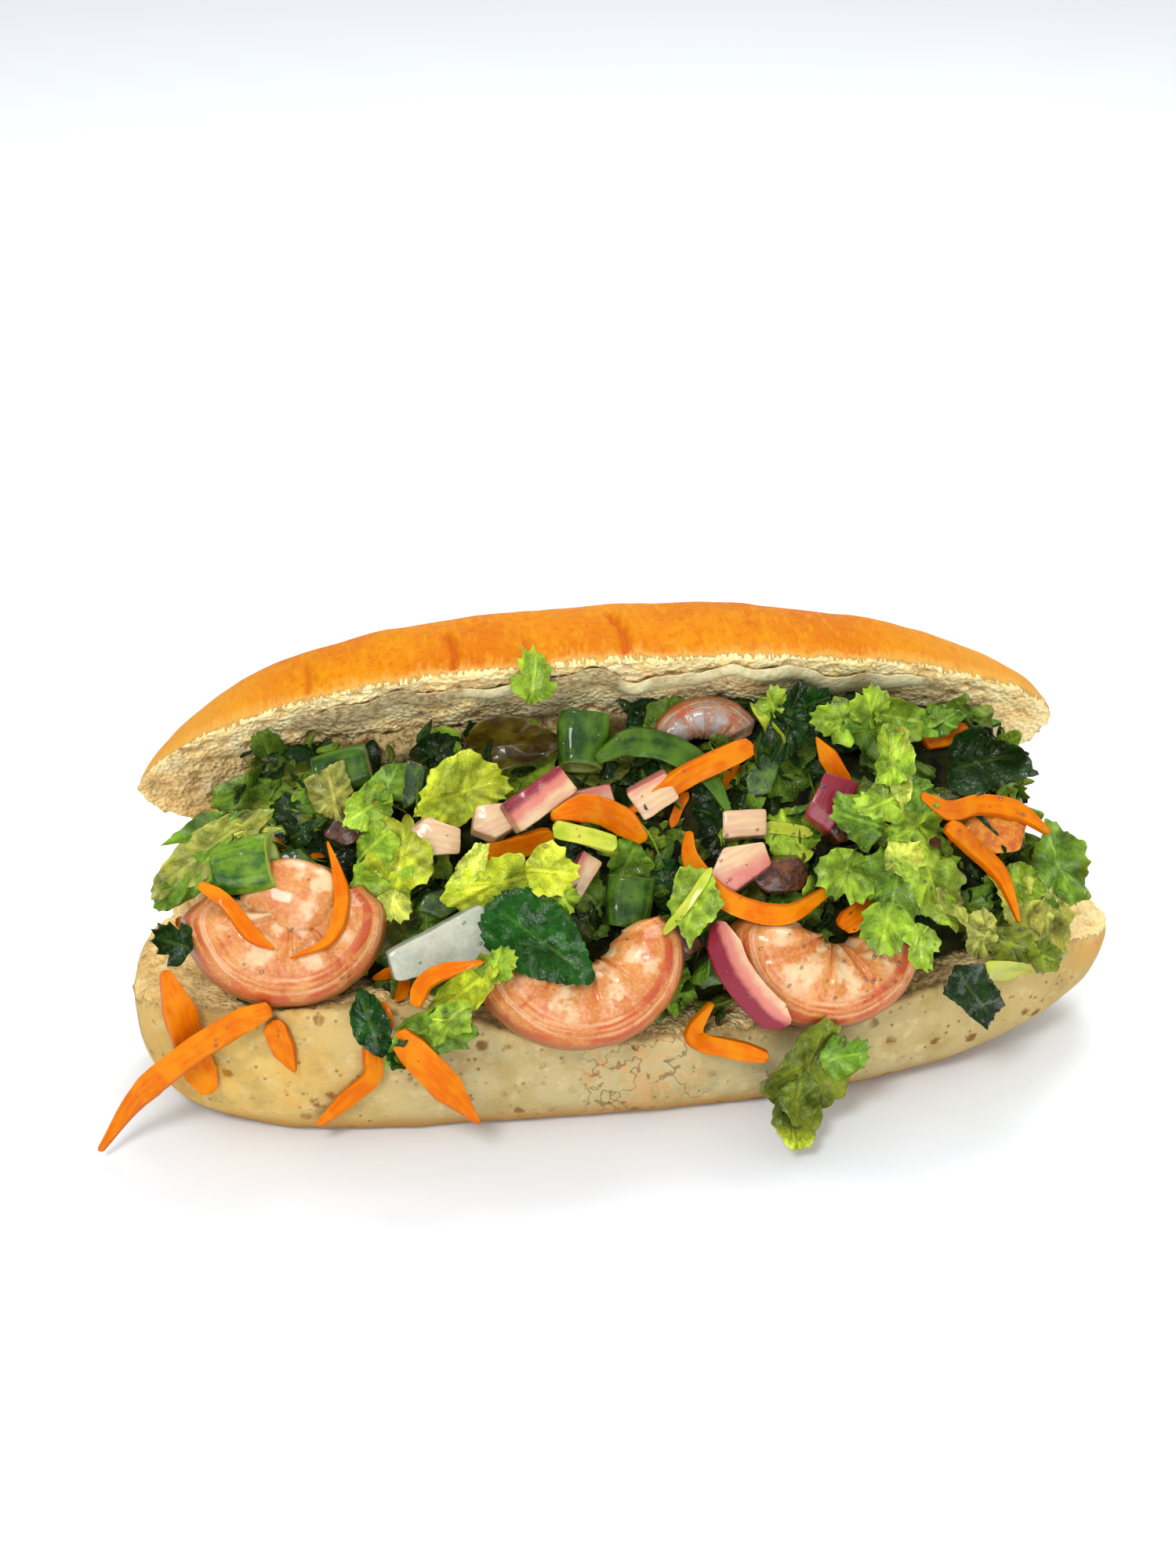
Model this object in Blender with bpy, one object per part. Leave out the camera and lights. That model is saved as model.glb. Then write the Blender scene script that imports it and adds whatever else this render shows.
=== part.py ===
"""Long roll, opened along one side and filled with shrimps, herbs, carrot and onion.

Lengths are in millimetres until the meshes are made. X runs along the roll, Y away from
the open side and Z up. The roll lies on the flat of its lower half.
"""
import math
import random

import bmesh
import bpy
import numpy as np
from mathutils import Vector
from mathutils.bvhtree import BVHTree

MM = 0.001
SEED = 7

# Lower half of the roll
LOW_ENDS = (-113.5, 114.0)
LOW_HALF_WIDTH = 37.0
LOW_CUT_Z = 34.0
LOW_LIP_Z = 24.0
LOW_LIP_RISE = (14.0, 9.0)
LOW_FULLNESS = 1.22
LOW_ROUNDNESS = 0.42
LOW_TIP_Z = (24.0, 25.0)
LOW_TAPER = ((5.0, 2.6), (2.6, 1.9))
LOW_DISH = 3.0

# Upper half, hinged at the back and folded up
UP_ENDS = (-111.0, 104.0)
UP_HINGE = (36.0, 34.0)
UP_ANGLE = math.radians(63.0)
UP_WIDTH = 70.5
UP_THICK = 32.0
UP_TIP_ALONG = (30.0, 35.0)
UP_TAPER = ((2.6, 1.6), (2.25, 1.65))
UP_DISH = 3.0

# Strip of crust and crumb that still joins the halves
WEB_ENDS = (-92.0, 73.0)
WEB_RADIUS = 11.5
WEB_TIP = 5.0
TEAR_AT = (-97.0, 15.0, 41.0)
TEAR_SIZE = (7.5, 12.0, 13.0)

# Plane of the mouth, which runs from the lower lip to the upper lip
MOUTH_Y = -38.0
MOUTH_Z = 26.0
MOUTH_TILT = math.radians(60.0)

GAP = 0.45
TABLE_Z = 0.5
DOME_STEPS = 12
CUT_STEPS = 8

# Stations along the roll that both halves and the filling share, and how the last few
# of each half close in on its tips
SHARED_X = [-92.0 + 9.0 * i for i in range(21)]
END_SHARES = (0.22, 0.43, 0.62, 0.78, 0.90, 0.97)
CORE_STEPS = 9
CORE_GAP = 0.9


def smooth(t):
    """Ease from 0 to 1."""
    t = np.clip(t, 0.0, 1.0)
    return t * t * (3.0 - 2.0 * t)


def taper(x, ends, powers):
    """Share of the full section left at x."""
    mid = (ends[0] + ends[1]) / 2.0
    half = (ends[1] - ends[0]) / 2.0
    s = abs(x - mid) / half
    power, root = powers[0] if x < mid else powers[1]
    return max(0.0, 1.0 - s ** power) ** (1.0 / root)


def stations(ends):
    """Places along the roll, closer together near its ends."""
    left = [SHARED_X[0] + (ends[0] - SHARED_X[0]) * k for k in reversed(END_SHARES)]
    right = [SHARED_X[-1] + (ends[1] - SHARED_X[-1]) * k for k in END_SHARES]
    return left + SHARED_X + right


def mouth(x, w, n):
    """Point at x along the roll, w up the mouth and n out of it."""
    up = np.array([0.0, math.cos(MOUTH_TILT), math.sin(MOUTH_TILT)])
    out = np.array([0.0, -math.sin(MOUTH_TILT), math.cos(MOUTH_TILT)])
    origin = np.array([0.0, MOUTH_Y, MOUTH_Z])
    along = np.array([1.0, 0.0, 0.0])
    return origin + x * along + w * up + n * out


def to_world(points):
    """Turn rows of (x, w, n) into rows of (x, y, z)."""
    return np.array([mouth(*p) for p in points])


def loft(rings, first, last):
    """Closed mesh through rings of points, with a point at either end."""
    count = len(rings[0])
    verts = [p for ring in rings for p in ring] + [first, last]
    faces = []
    for r in range(len(rings) - 1):
        for i in range(count):
            j = (i + 1) % count
            a = r * count + i
            b = r * count + j
            faces.append((a, b, b + count))
            faces.append((a, b + count, a + count))
    head = len(verts) - 2
    tail = len(verts) - 1
    base = (len(rings) - 1) * count
    for i in range(count):
        j = (i + 1) % count
        faces.append((head, j, i))
        faces.append((tail, base + i, base + j))
    return np.array(verts, float), faces


def outward(verts, faces):
    """Turn the faces so that the volume is positive."""
    v = np.asarray(verts)
    f = np.asarray(faces)
    volume = np.einsum("ij,ij->i", v[f[:, 0]], np.cross(v[f[:, 1]], v[f[:, 2]])).sum()
    return f if volume > 0 else f[:, ::-1]


def lip_height(x):
    """Height of the lower lip: it sags under the filling and rises at both ends."""
    left = LOW_LIP_RISE[0] * smooth((-x - 15.0) / 45.0)
    right = LOW_LIP_RISE[1] * smooth((x - 35.0) / 50.0)
    return LOW_LIP_Z + left + right


def lower_ring(x):
    """Section of the lower half at x."""
    size = taper(x, LOW_ENDS, LOW_TAPER)
    tip = LOW_TIP_Z[0] if x < 0 else LOW_TIP_Z[1]
    lip = lip_height(x)
    ring = []
    for i in range(DOME_STEPS + 1):
        phi = math.pi * i / DOME_STEPS
        u = -math.cos(phi)
        top = lip + (LOW_CUT_Z - lip) * (u + 1.0) / 2.0
        z = top * (1.0 - LOW_FULLNESS * max(0.0, math.sin(phi)) ** LOW_ROUNDNESS)
        ring.append((u, z))
    for i in range(1, CUT_STEPS):
        u = 1.0 - 2.0 * i / CUT_STEPS
        top = lip + (LOW_CUT_Z - lip) * (u + 1.0) / 2.0
        bump = 0.7 * math.sin(x * 0.31 + 5.0 * u)
        ring.append((u, top - LOW_DISH * (1.0 - u * u) + bump * (1.0 - u * u)))
    return [(x, LOW_HALF_WIDTH * u * size, max(0.0, tip + (z - tip) * size)) for u, z in ring]


def upper_point(x, along, deep):
    """Point of the upper half: along its cut face from the hinge, deep into the crust."""
    y = UP_HINGE[0] - math.cos(UP_ANGLE) * along + math.sin(UP_ANGLE) * deep
    z = UP_HINGE[1] + math.sin(UP_ANGLE) * along + math.cos(UP_ANGLE) * deep
    return (x, y, z)


def upper_ring(x):
    """Section of the upper half at x."""
    size = taper(x, UP_ENDS, UP_TAPER)
    half = UP_WIDTH / 2.0
    tip = UP_TIP_ALONG[0] if x < 0 else UP_TIP_ALONG[1]
    middle = tip + (half - tip) * size
    ring = []
    for i in range(DOME_STEPS + 1):
        phi = math.pi * i / DOME_STEPS
        u = -math.cos(phi)
        ring.append((u, UP_THICK * max(0.0, math.sin(phi)) ** 0.75))
    for i in range(1, CUT_STEPS):
        u = 1.0 - 2.0 * i / CUT_STEPS
        bump = 0.7 * math.sin(x * 0.27 + 4.0 * u)
        ring.append((u, (UP_DISH + bump) * (1.0 - u * u)))
    return [upper_point(x, middle + half * u * size, 2.0 + (v - 2.0) * size) for u, v in ring]


def web_ring(x, size, count=12):
    """Section of the joining strip at x."""
    low = LOW_HALF_WIDTH * taper(x, LOW_ENDS, LOW_TAPER)
    up = upper_point(x, UP_WIDTH / 2.0 * (1.0 - taper(x, UP_ENDS, UP_TAPER)), 2.0)
    y = (low + up[1]) / 2.0 - 3.0
    z = (LOW_CUT_Z - 1.0 + up[2]) / 2.0 + 1.0
    turn = [2.0 * math.pi * i / count for i in range(count)]
    return [(x, y + size * math.cos(t), z + size * math.sin(t)) for t in turn]


def ball(centre, size, rings=6, count=10, lump=0.0):
    """Closed rounded lump."""
    rows = []
    for r in range(1, rings):
        a = math.pi * r / rings
        row = []
        for i in range(count):
            b = 2.0 * math.pi * i / count
            k = 1.0 + lump * math.sin(3.0 * a + 2.3 * b + centre[0])
            row.append((centre[0] - size[0] * math.cos(a) * k,
                        centre[1] + size[1] * math.sin(a) * math.cos(b) * k,
                        centre[2] + size[2] * math.sin(a) * math.sin(b) * k))
        rows.append(row)
    first = (centre[0] - size[0], centre[1], centre[2])
    last = (centre[0] + size[0], centre[1], centre[2])
    return loft(rows, first, last)


def make_object(name, verts, faces):
    """Mesh object in metres, faces outward."""
    mesh = bpy.data.meshes.new(name)
    mesh.from_pydata([tuple(v * MM) for v in np.asarray(verts)], [],
                     [tuple(int(i) for i in f) for f in outward(verts, faces)])
    mesh.validate()
    obj = bpy.data.objects.new(name, mesh)
    bpy.context.scene.collection.objects.link(obj)
    return obj


def read_back(obj):
    """Vertices in millimetres and triangles of an object."""
    bm = bmesh.new()
    bm.from_mesh(obj.data)
    bmesh.ops.triangulate(bm, faces=bm.faces[:])
    bm.verts.ensure_lookup_table()
    verts = np.array([v.co[:] for v in bm.verts]) / MM
    faces = [tuple(v.index for v in f.verts) for f in bm.faces]
    bm.free()
    return verts, faces


def fuse(name, bodies, solver):
    """One solid from several overlapping closed meshes."""
    base = make_object(name, *bodies[0])
    group = bpy.data.collections.new(name + "_parts")
    bpy.context.scene.collection.children.link(group)
    for i, body in enumerate(bodies[1:]):
        part = make_object(f"{name}_{i}", *body)
        bpy.context.scene.collection.objects.unlink(part)
        group.objects.link(part)
    union = base.modifiers.new("union", "BOOLEAN")
    union.operation = "UNION"
    union.operand_type = "COLLECTION"
    union.collection = group
    union.solver = solver
    bpy.context.view_layer.update()
    graph = bpy.context.evaluated_depsgraph_get()
    fused = bpy.data.meshes.new_from_object(base.evaluated_get(graph))
    base.modifiers.clear()
    base.data = fused
    for part in list(group.objects):
        bpy.data.objects.remove(part)
    bpy.data.collections.remove(group)
    bm = bmesh.new()
    bm.from_mesh(fused)
    bmesh.ops.remove_doubles(bm, verts=bm.verts[:], dist=0.02 * MM)
    bmesh.ops.dissolve_degenerate(bm, edges=bm.edges[:], dist=0.01 * MM)
    bmesh.ops.triangulate(bm, faces=bm.faces[:])
    bm.to_mesh(fused)
    bm.free()
    return base


class Pile:
    """Everything placed so far, felt from outside the mouth."""

    def __init__(self):
        self.verts = []
        self.faces = []
        self.tree = None

    def add(self, verts, faces):
        start = len(self.verts)
        self.verts += [Vector(v) for v in np.asarray(verts)]
        self.faces += [tuple(int(i) + start for i in f) for f in faces]
        self.tree = BVHTree.FromPolygons(self.verts, self.faces)

    def top(self, x, w):
        """How far out the pile reaches at (x, w)."""
        out = mouth(0.0, 0.0, 1.0) - mouth(0.0, 0.0, 0.0)
        table = (TABLE_Z - mouth(x, w, 0.0)[2]) / out[2]
        start = mouth(x, w, 90.0)
        hit = self.tree.ray_cast(Vector(start), Vector(-out), 400.0)
        if hit[0] is None:
            return table
        return max(table, 90.0 - hit[3])

    def heights(self, points):
        return np.array([self.top(x, w) for x, w in points])


PILE = Pile()
ROLL = Pile()


def cleared(local, faces, tree):
    """Move a piece, given as (x, w, n), out in small steps until it is clear of tree."""
    local = np.asarray(local, float)
    faces = [tuple(int(i) for i in f) for f in faces]
    for _ in range(60):
        world = to_world(local)
        own = BVHTree.FromPolygons([Vector(p) for p in world], faces)
        if not tree.overlap(own):
            break
        local = local + np.array([0.0, 0.0, 0.3])
    return world, faces


def samples(points, step, margin):
    """Grid of test points over the box of some (x, w) points, near those points."""
    points = np.asarray(points)
    low = points.min(axis=0) - margin
    high = points.max(axis=0) + margin
    xs = np.arange(low[0], high[0] + step, step)
    ws = np.arange(low[1], high[1] + step, step)
    grid = np.array([(x, w) for x in xs for w in ws])
    away = np.linalg.norm(grid[:, None, :] - points[None, :, :], axis=2).min(axis=1)
    return grid[away < margin + step]


def envelope(points, reach, slope, step=1.4):
    """Height over the pile at each point, no steeper than slope, clear within reach."""
    grid = samples(points, step, reach)
    heights = PILE.heights(grid)
    away = np.linalg.norm(np.asarray(points)[:, None, :] - grid[None, :, :], axis=2)
    return (heights[None, :] - slope * np.maximum(0.0, away - reach)).max(axis=1)


def slab(points, faces, rim, thick, relief, reach, slope, sink=0.0):
    """Thin sheet draped over the pile: (x, w) points, top faces and rim loop."""
    points = np.asarray(points, float)
    under = envelope(points, reach, slope) + GAP - sink + np.asarray(relief)
    thick = np.broadcast_to(thick, len(points))
    count = len(points)
    low = np.column_stack([points, under])
    high = np.column_stack([points, under + thick])
    body = [tuple(f) for f in faces]
    body = [(a + count, b + count, c + count) for a, b, c in body] + [f[::-1] for f in body]
    for a, b in zip(rim, rim[1:] + rim[:1]):
        body.append((a, b, b + count))
        body.append((a, b + count, a + count))
    return cleared(np.vstack([low, high]), body, ROLL.tree if sink > 0.0 else PILE.tree)


def lobed_outline(kind, t):
    """Radius of a leaf at turn t, where t = 0 points to its tip."""
    if kind == "parsley":
        return (0.62 + 0.30 * abs(math.cos(1.5 * t)) ** 0.8 + 0.08 * math.cos(9.0 * t)
                - 0.25 * smooth((abs(t) - 2.6) / 0.5))
    if kind == "mint":
        return 0.56 + 0.34 * abs(math.cos(t)) ** 2.2 + 0.10 * math.cos(t) ** 9
    if kind == "lettuce":
        return 0.78 + 0.13 * math.cos(5.0 * t + 0.6) + 0.09 * math.cos(8.0 * t)
    return 0.80 + 0.12 * math.cos(3.0 * t + 1.1)


def leaf(kind, x, w, length, width, turn, wave=1.6, spokes=22, seed=0, sink=0.0, slope=0.7):
    """Wavy leaf with its middle at (x, w); turn is where its tip points, in degrees."""
    rng = random.Random(SEED * 100 + seed)
    swing = rng.uniform(0.0, 6.28)
    turn = math.radians(turn)
    points = [(x, w)]
    relief = [0.0]
    shares = (0.52, 1.0) if spokes > 12 else (1.0,)
    for share in shares:
        for i in range(spokes):
            t = 2.0 * math.pi * i / spokes
            t = t - 2.0 * math.pi if t > math.pi else t
            r = lobed_outline(kind, t) * (0.55 if share < 0.6 else 1.0)
            a = math.cos(t) * r * length / 2.0
            b = math.sin(t) * r * width / 2.0
            points.append((x + a * math.cos(turn) - b * math.sin(turn),
                           w + a * math.sin(turn) + b * math.cos(turn)))
            fold = abs(math.sin(t)) * 0.7
            relief.append(wave * share * (fold + 0.5 + 0.5 * math.sin(4.0 * t + swing)))
    faces = []
    for i in range(spokes):
        j = (i + 1) % spokes
        faces.append((0, 1 + i, 1 + j))
        if len(shares) > 1:
            faces.append((1 + i, 1 + spokes + i, 1 + spokes + j))
            faces.append((1 + i, 1 + spokes + j, 1 + j))
    rim = [len(points) - spokes + i for i in range(spokes)]
    reach = min(6.0, 0.55 * max(length, width) / 2.0) if sink == 0.0 else 0.5
    return slab(points, faces, rim, 0.9, relief, reach, slope, sink)


def curve(points, count):
    """Smooth path through a few points."""
    pts = np.asarray(points, float)
    pts = np.vstack([2.0 * pts[0] - pts[1], pts, 2.0 * pts[-1] - pts[-2]])
    spans = len(pts) - 3
    path = []
    for i in range(count):
        t = spans * i / (count - 1)
        k = min(int(t), spans - 1)
        t -= k
        p0, p1, p2, p3 = pts[k:k + 4]
        path.append(0.5 * (2.0 * p1 + (p2 - p0) * t + (2.0 * p0 - 5.0 * p1 + 4.0 * p2 - p3) * t * t
                           + (3.0 * p1 - p0 - 3.0 * p2 + p3) * t ** 3))
    return np.array(path)


def strip(points, width, ends=(0.35, 0.35), thick=2.0, count=0, slope=0.9, sink=0.0):
    """Cut strip along a path of (x, w) points, narrower at its ends."""
    rough = np.asarray(points, float)
    length = np.linalg.norm(np.diff(rough, axis=0), axis=1).sum()
    count = count or max(5, int(length / 4.2) + 2)
    path = curve(points, count)
    along = np.gradient(path, axis=0)
    along /= np.linalg.norm(along, axis=1)[:, None]
    side = np.column_stack([-along[:, 1], along[:, 0]])
    share = np.linspace(0.0, 1.0, count)
    size = np.minimum(1.0, np.minimum(ends[0] + share * 4.0, ends[1] + (1.0 - share) * 4.0))
    half = width / 2.0 * size
    flat = []
    for p, s, h in zip(path, side, half):
        flat.append(p + s * h)
        flat.append(p - s * h)
    faces = []
    for i in range(count - 1):
        a = 2 * i
        faces.append((a, a + 1, a + 3))
        faces.append((a, a + 3, a + 2))
    rim = [2 * i + 1 for i in range(count)] + [2 * i for i in reversed(range(count))]
    thicks = np.repeat(thick * (0.6 + 0.4 * size), 2)
    reach = length / (count - 1) * 1.1
    if outward_2d(flat, rim) < 0:
        rim = rim[::-1]
    return slab(flat, faces, rim, thicks, np.zeros(len(flat)), reach, slope, sink)


def outward_2d(points, loop):
    """Signed area of a loop of (x, w) points."""
    p = np.array([points[i] for i in loop])
    q = np.roll(p, -1, axis=0)
    return (p[:, 0] * q[:, 1] - p[:, 1] * q[:, 0]).sum() / 2.0


def settle(local, faces, sink=0.0):
    """Move a rigid piece, given as (x, w, n), out until it rests on the pile."""
    local = np.asarray(local, float)
    own = BVHTree.FromPolygons([Vector(p) for p in local], [tuple(f) for f in faces])
    grid = samples(local[:, :2], 1.1, 0.0)
    drop = -1000.0
    for x, w in grid:
        hit = own.ray_cast(Vector((x, w, -300.0)), Vector((0.0, 0.0, 1.0)), 600.0)
        if hit[0] is not None:
            drop = max(drop, PILE.top(x, w) - hit[0].z)
    local = local + np.array([0.0, 0.0, drop + GAP - sink])
    return cleared(local, faces, ROLL.tree if sink > 0.0 else PILE.tree)


def turned(points, turn, x, w):
    """Turn local (a, b, n) points in the plane of the mouth and put them at (x, w)."""
    c = math.cos(math.radians(turn))
    s = math.sin(math.radians(turn))
    return [(x + a * c - b * s, w + a * s + b * c, n) for a, b, n in points]


def shrimp(x, w, radius, body, start, sweep, tilt=0.0, rings=20, count=9, squash=0.9):
    """Curled shrimp: body is its half thickness, sweep its turn in degrees."""
    rows = []
    for r in range(rings):
        t = r / (rings - 1)
        a = math.radians(start + sweep * t)
        bulk = body * (0.62 + 0.38 * math.sin(math.pi * min(1.0, 0.30 + 0.75 * t)) ** 0.8)
        bulk *= 1.0 + 0.035 * math.cos(2.0 * math.pi * 6.0 * t)
        bulk *= 1.0 - 0.45 * smooth((0.10 - t) / 0.10) - 0.30 * smooth((t - 0.88) / 0.12)
        mid = radius * (1.0 - 0.10 * t)
        row = []
        for i in range(count):
            b = 2.0 * math.pi * i / count
            out = mid + bulk * math.cos(b)
            row.append((out * math.cos(a), out * math.sin(a) * squash,
                        bulk * 0.88 * math.sin(b) + tilt * out * math.sin(a)))
        rows.append(row)
    ends = []
    for t, step in ((0.0, -3.0), (1.0, 3.0)):
        a = math.radians(start + sweep * t + step * math.copysign(1.0, sweep))
        mid = radius * (1.0 - 0.10 * t)
        ends.append((mid * math.cos(a), mid * math.sin(a) * squash, tilt * mid * math.sin(a)))
    verts, faces = loft(rows, ends[0], ends[1])
    return settle(turned(verts, 0.0, x, w), outward(verts, faces))


def chunk(x, w, size, turn, bow=0.0, sink=0.0, seed=0, rings=5):
    """Cut piece with slightly uneven faces; bow lifts its middle."""
    rng = random.Random(SEED * 31 + seed)
    rows = []
    round_section = ((-1, -1), (0, -1.15), (1, -1), (1.1, 0),
                     (1, 1), (0, 1.15), (-1, 1), (-1.1, 0))
    square_section = ((-1, -1), (1, -1), (1.1, 0), (1, 1), (-1, 1), (-1.1, 0))
    for i in range(rings):
        t = i / (rings - 1.0) - 0.5
        k = 1.0 - 0.25 * abs(2.0 * t) ** 3
        lift = bow * (1.0 - 4.0 * t * t)
        row = []
        for c, s in round_section if rings > 3 else square_section:
            row.append((t * size[0], c * size[1] / 2.0 * k * rng.uniform(0.9, 1.08),
                        s * size[2] / 2.0 * k + lift))
        rows.append(row)
    first = (-size[0] * 0.52, 0.0, 0.0)
    last = (size[0] * 0.52, 0.0, 0.0)
    verts, faces = loft(rows, first, last)
    return settle(turned(verts, turn, x, w), outward(verts, faces), sink)


def tube(x, w, length, outer, inner, turn, dip=0.0, sink=0.0, count=10):
    """Short length of scallion: a ring of wall thickness outer - inner."""
    verts = []
    for end in (-0.5, 0.5):
        for r in (outer, inner):
            for i in range(count):
                b = 2.0 * math.pi * i / count
                verts.append((end * length + dip * math.sin(b), r * math.cos(b), r * math.sin(b) * 0.85))
    faces = []
    for i in range(count):
        j = (i + 1) % count
        quads = ((i, j, 2 * count + j, 2 * count + i),
                 (count + j, count + i, 3 * count + i, 3 * count + j),
                 (j, i, count + i, count + j),
                 (2 * count + i, 2 * count + j, 3 * count + j, 3 * count + i))
        for a, b, c, d in quads:
            faces.append((a, b, c))
            faces.append((a, c, d))
    return settle(turned(verts, turn, x, w), outward(verts, faces), sink)


def core_front(x, w):
    """How far out the chopped filling reaches at (x, w)."""
    n = -6.0 - 15.0 * smooth((w - 48.0) / 24.0) - 4.0 * smooth((22.0 - w) / 22.0)
    n += 1.6 * math.sin(0.21 * x + 0.9) * math.sin(0.19 * w) + 1.1 * math.sin(0.47 * x + 0.31 * w)
    return n - 26.0 * smooth((abs(x) - 80.0) / 26.0)


def mouth_of(point):
    """(w, n) of a point (x, y, z)."""
    away = np.asarray(point) - mouth(point[0], 0.0, 0.0)
    up = mouth(0.0, 1.0, 0.0) - mouth(0.0, 0.0, 0.0)
    out = mouth(0.0, 0.0, 1.0) - mouth(0.0, 0.0, 0.0)
    return away @ up, away @ out


def salad_core():
    """Body of the filling between the cut faces of the roll."""
    rows = []
    for x in SHARED_X[1:]:
        low = lower_ring(x)[DOME_STEPS + 1:][2:]
        high = upper_ring(x)[DOME_STEPS + 1:][1:5]
        under = [np.array(p) + np.array([0.0, 0.0, CORE_GAP]) for p in low]
        over = [np.array(p) - np.array(upper_point(0.0, 0.0, CORE_GAP))
                + np.array(upper_point(0.0, 0.0, 0.0)) for p in high]
        w0, n0 = mouth_of(under[-1])
        w1, n1 = mouth_of(over[0])
        front = []
        for i in range(1, CORE_STEPS):
            t = i / CORE_STEPS
            w = w0 + (w1 - w0) * t
            line = n0 + (n1 - n0) * t
            blend = min(1.0, 4.0 * t, 4.0 * (1.0 - t))
            front.append(mouth(x, w, line + (core_front(x, w) - line) * blend))
        rows.append(under + front + over)
    first = np.mean(rows[0], axis=0) - np.array([5.0, 0.0, 0.0])
    last = np.mean(rows[-1], axis=0) + np.array([3.0, 0.0, 0.0])
    return loft(rows, first, last)


def mayonnaise():
    """Uneven smear along the cut face of the upper half, near its lip."""
    count = 34
    rows = []
    for i in range(count):
        x = -74.0 + 148.0 * i / (count - 1)
        size = taper(x, UP_ENDS, UP_TAPER)
        edge = UP_WIDTH / 2.0 * (1.0 + size)
        high = edge - 4.5 - 1.6 * math.sin(0.16 * x) - 1.2 * math.sin(0.41 * x + 1.0)
        low = high - 6.5 - 1.5 * math.sin(0.12 * x + 2.0)
        k = 1.0 - 0.7 * abs(2.0 * i / (count - 1) - 1.0) ** 6
        row = []
        for along, deep in ((high, 0.0), (high - 1.0, 1.1 * k), ((high + low) / 2.0, 1.7 * k),
                            (low + 1.0, 1.1 * k), (low, 0.0), ((high + low) / 2.0, -0.2)):
            u = (along - UP_WIDTH / 2.0) / (UP_WIDTH / 2.0 * size)
            bump = 0.7 * math.sin(x * 0.27 + 4.0 * u)
            v = (UP_DISH + bump) * (1.0 - u * u)
            face = 2.0 + (v - 2.0) * size
            row.append(upper_point(x, along, face - 1.0 - deep))
        rows.append(row)
    first = np.mean(rows[0], axis=0) - np.array([1.0, 0.0, 0.0])
    last = np.mean(rows[-1], axis=0) + np.array([1.0, 0.0, 0.0])
    return loft(rows, first, last)


# Small pieces that are part of the chopped filling: kind, x, w, size, turn
FUSED = [
    ("chunk", -86.0, 47.0, (12, 6, 5), 20), ("chunk", -76.0, 42.0, (10, 7, 6), -30),
    ("chunk", -63.0, 50.0, (13, 7, 5), 10), ("chunk", -50.0, 59.0, (11, 7, 6), 70),
    ("chunk", -45.0, 32.0, (12, 7, 5), 15), ("chunk", -22.0, 30.0, (11, 7, 6), 50),
    ("chunk", -12.0, 52.0, (12, 6, 5), 10), ("chunk", 2.5, 51.6, (11, 7, 5), 25),
    ("chunk", 6.0, 20.0, (12, 8, 6), -15), ("chunk", 15.0, 14.0, (13, 7, 6), 40),
    ("chunk", 30.0, 33.0, (14, 8, 6), 0), ("chunk", 28.0, 55.0, (11, 7, 5), 60),
    ("chunk", 23.0, 45.0, (10, 6, 5), 0), ("chunk", 44.0, 44.0, (12, 7, 6), -40),
    ("chunk", 62.0, 36.0, (12, 7, 5), 20), ("chunk", 79.0, 39.0, (16, 11, 7), 10),
    ("chunk", -13.7, 36.2, (11, 5, 4), 60), ("chunk", 72.5, 62.0, (12, 5, 4), 5),
    ("leaf", -85.0, 38.0, (19, 15), 200), ("leaf", -78.0, 55.0, (20, 15), 150),
    ("leaf", -40.0, 62.0, (20, 15), 30), ("leaf", 2.0, 60.0, (20, 14), 200),
    ("leaf", 32.0, 62.0, (21, 16), 10), ("leaf", -3.0, 38.0, (17, 14), 60),
    ("leaf", 86.0, 47.0, (20, 15), 300), ("leaf", 79.0, 18.0, (20, 14), 340),
    ("leaf", 34.0, 43.0, (17, 15), 120), ("leaf", 5.0, 11.0, (17, 14), 300),
]

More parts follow.
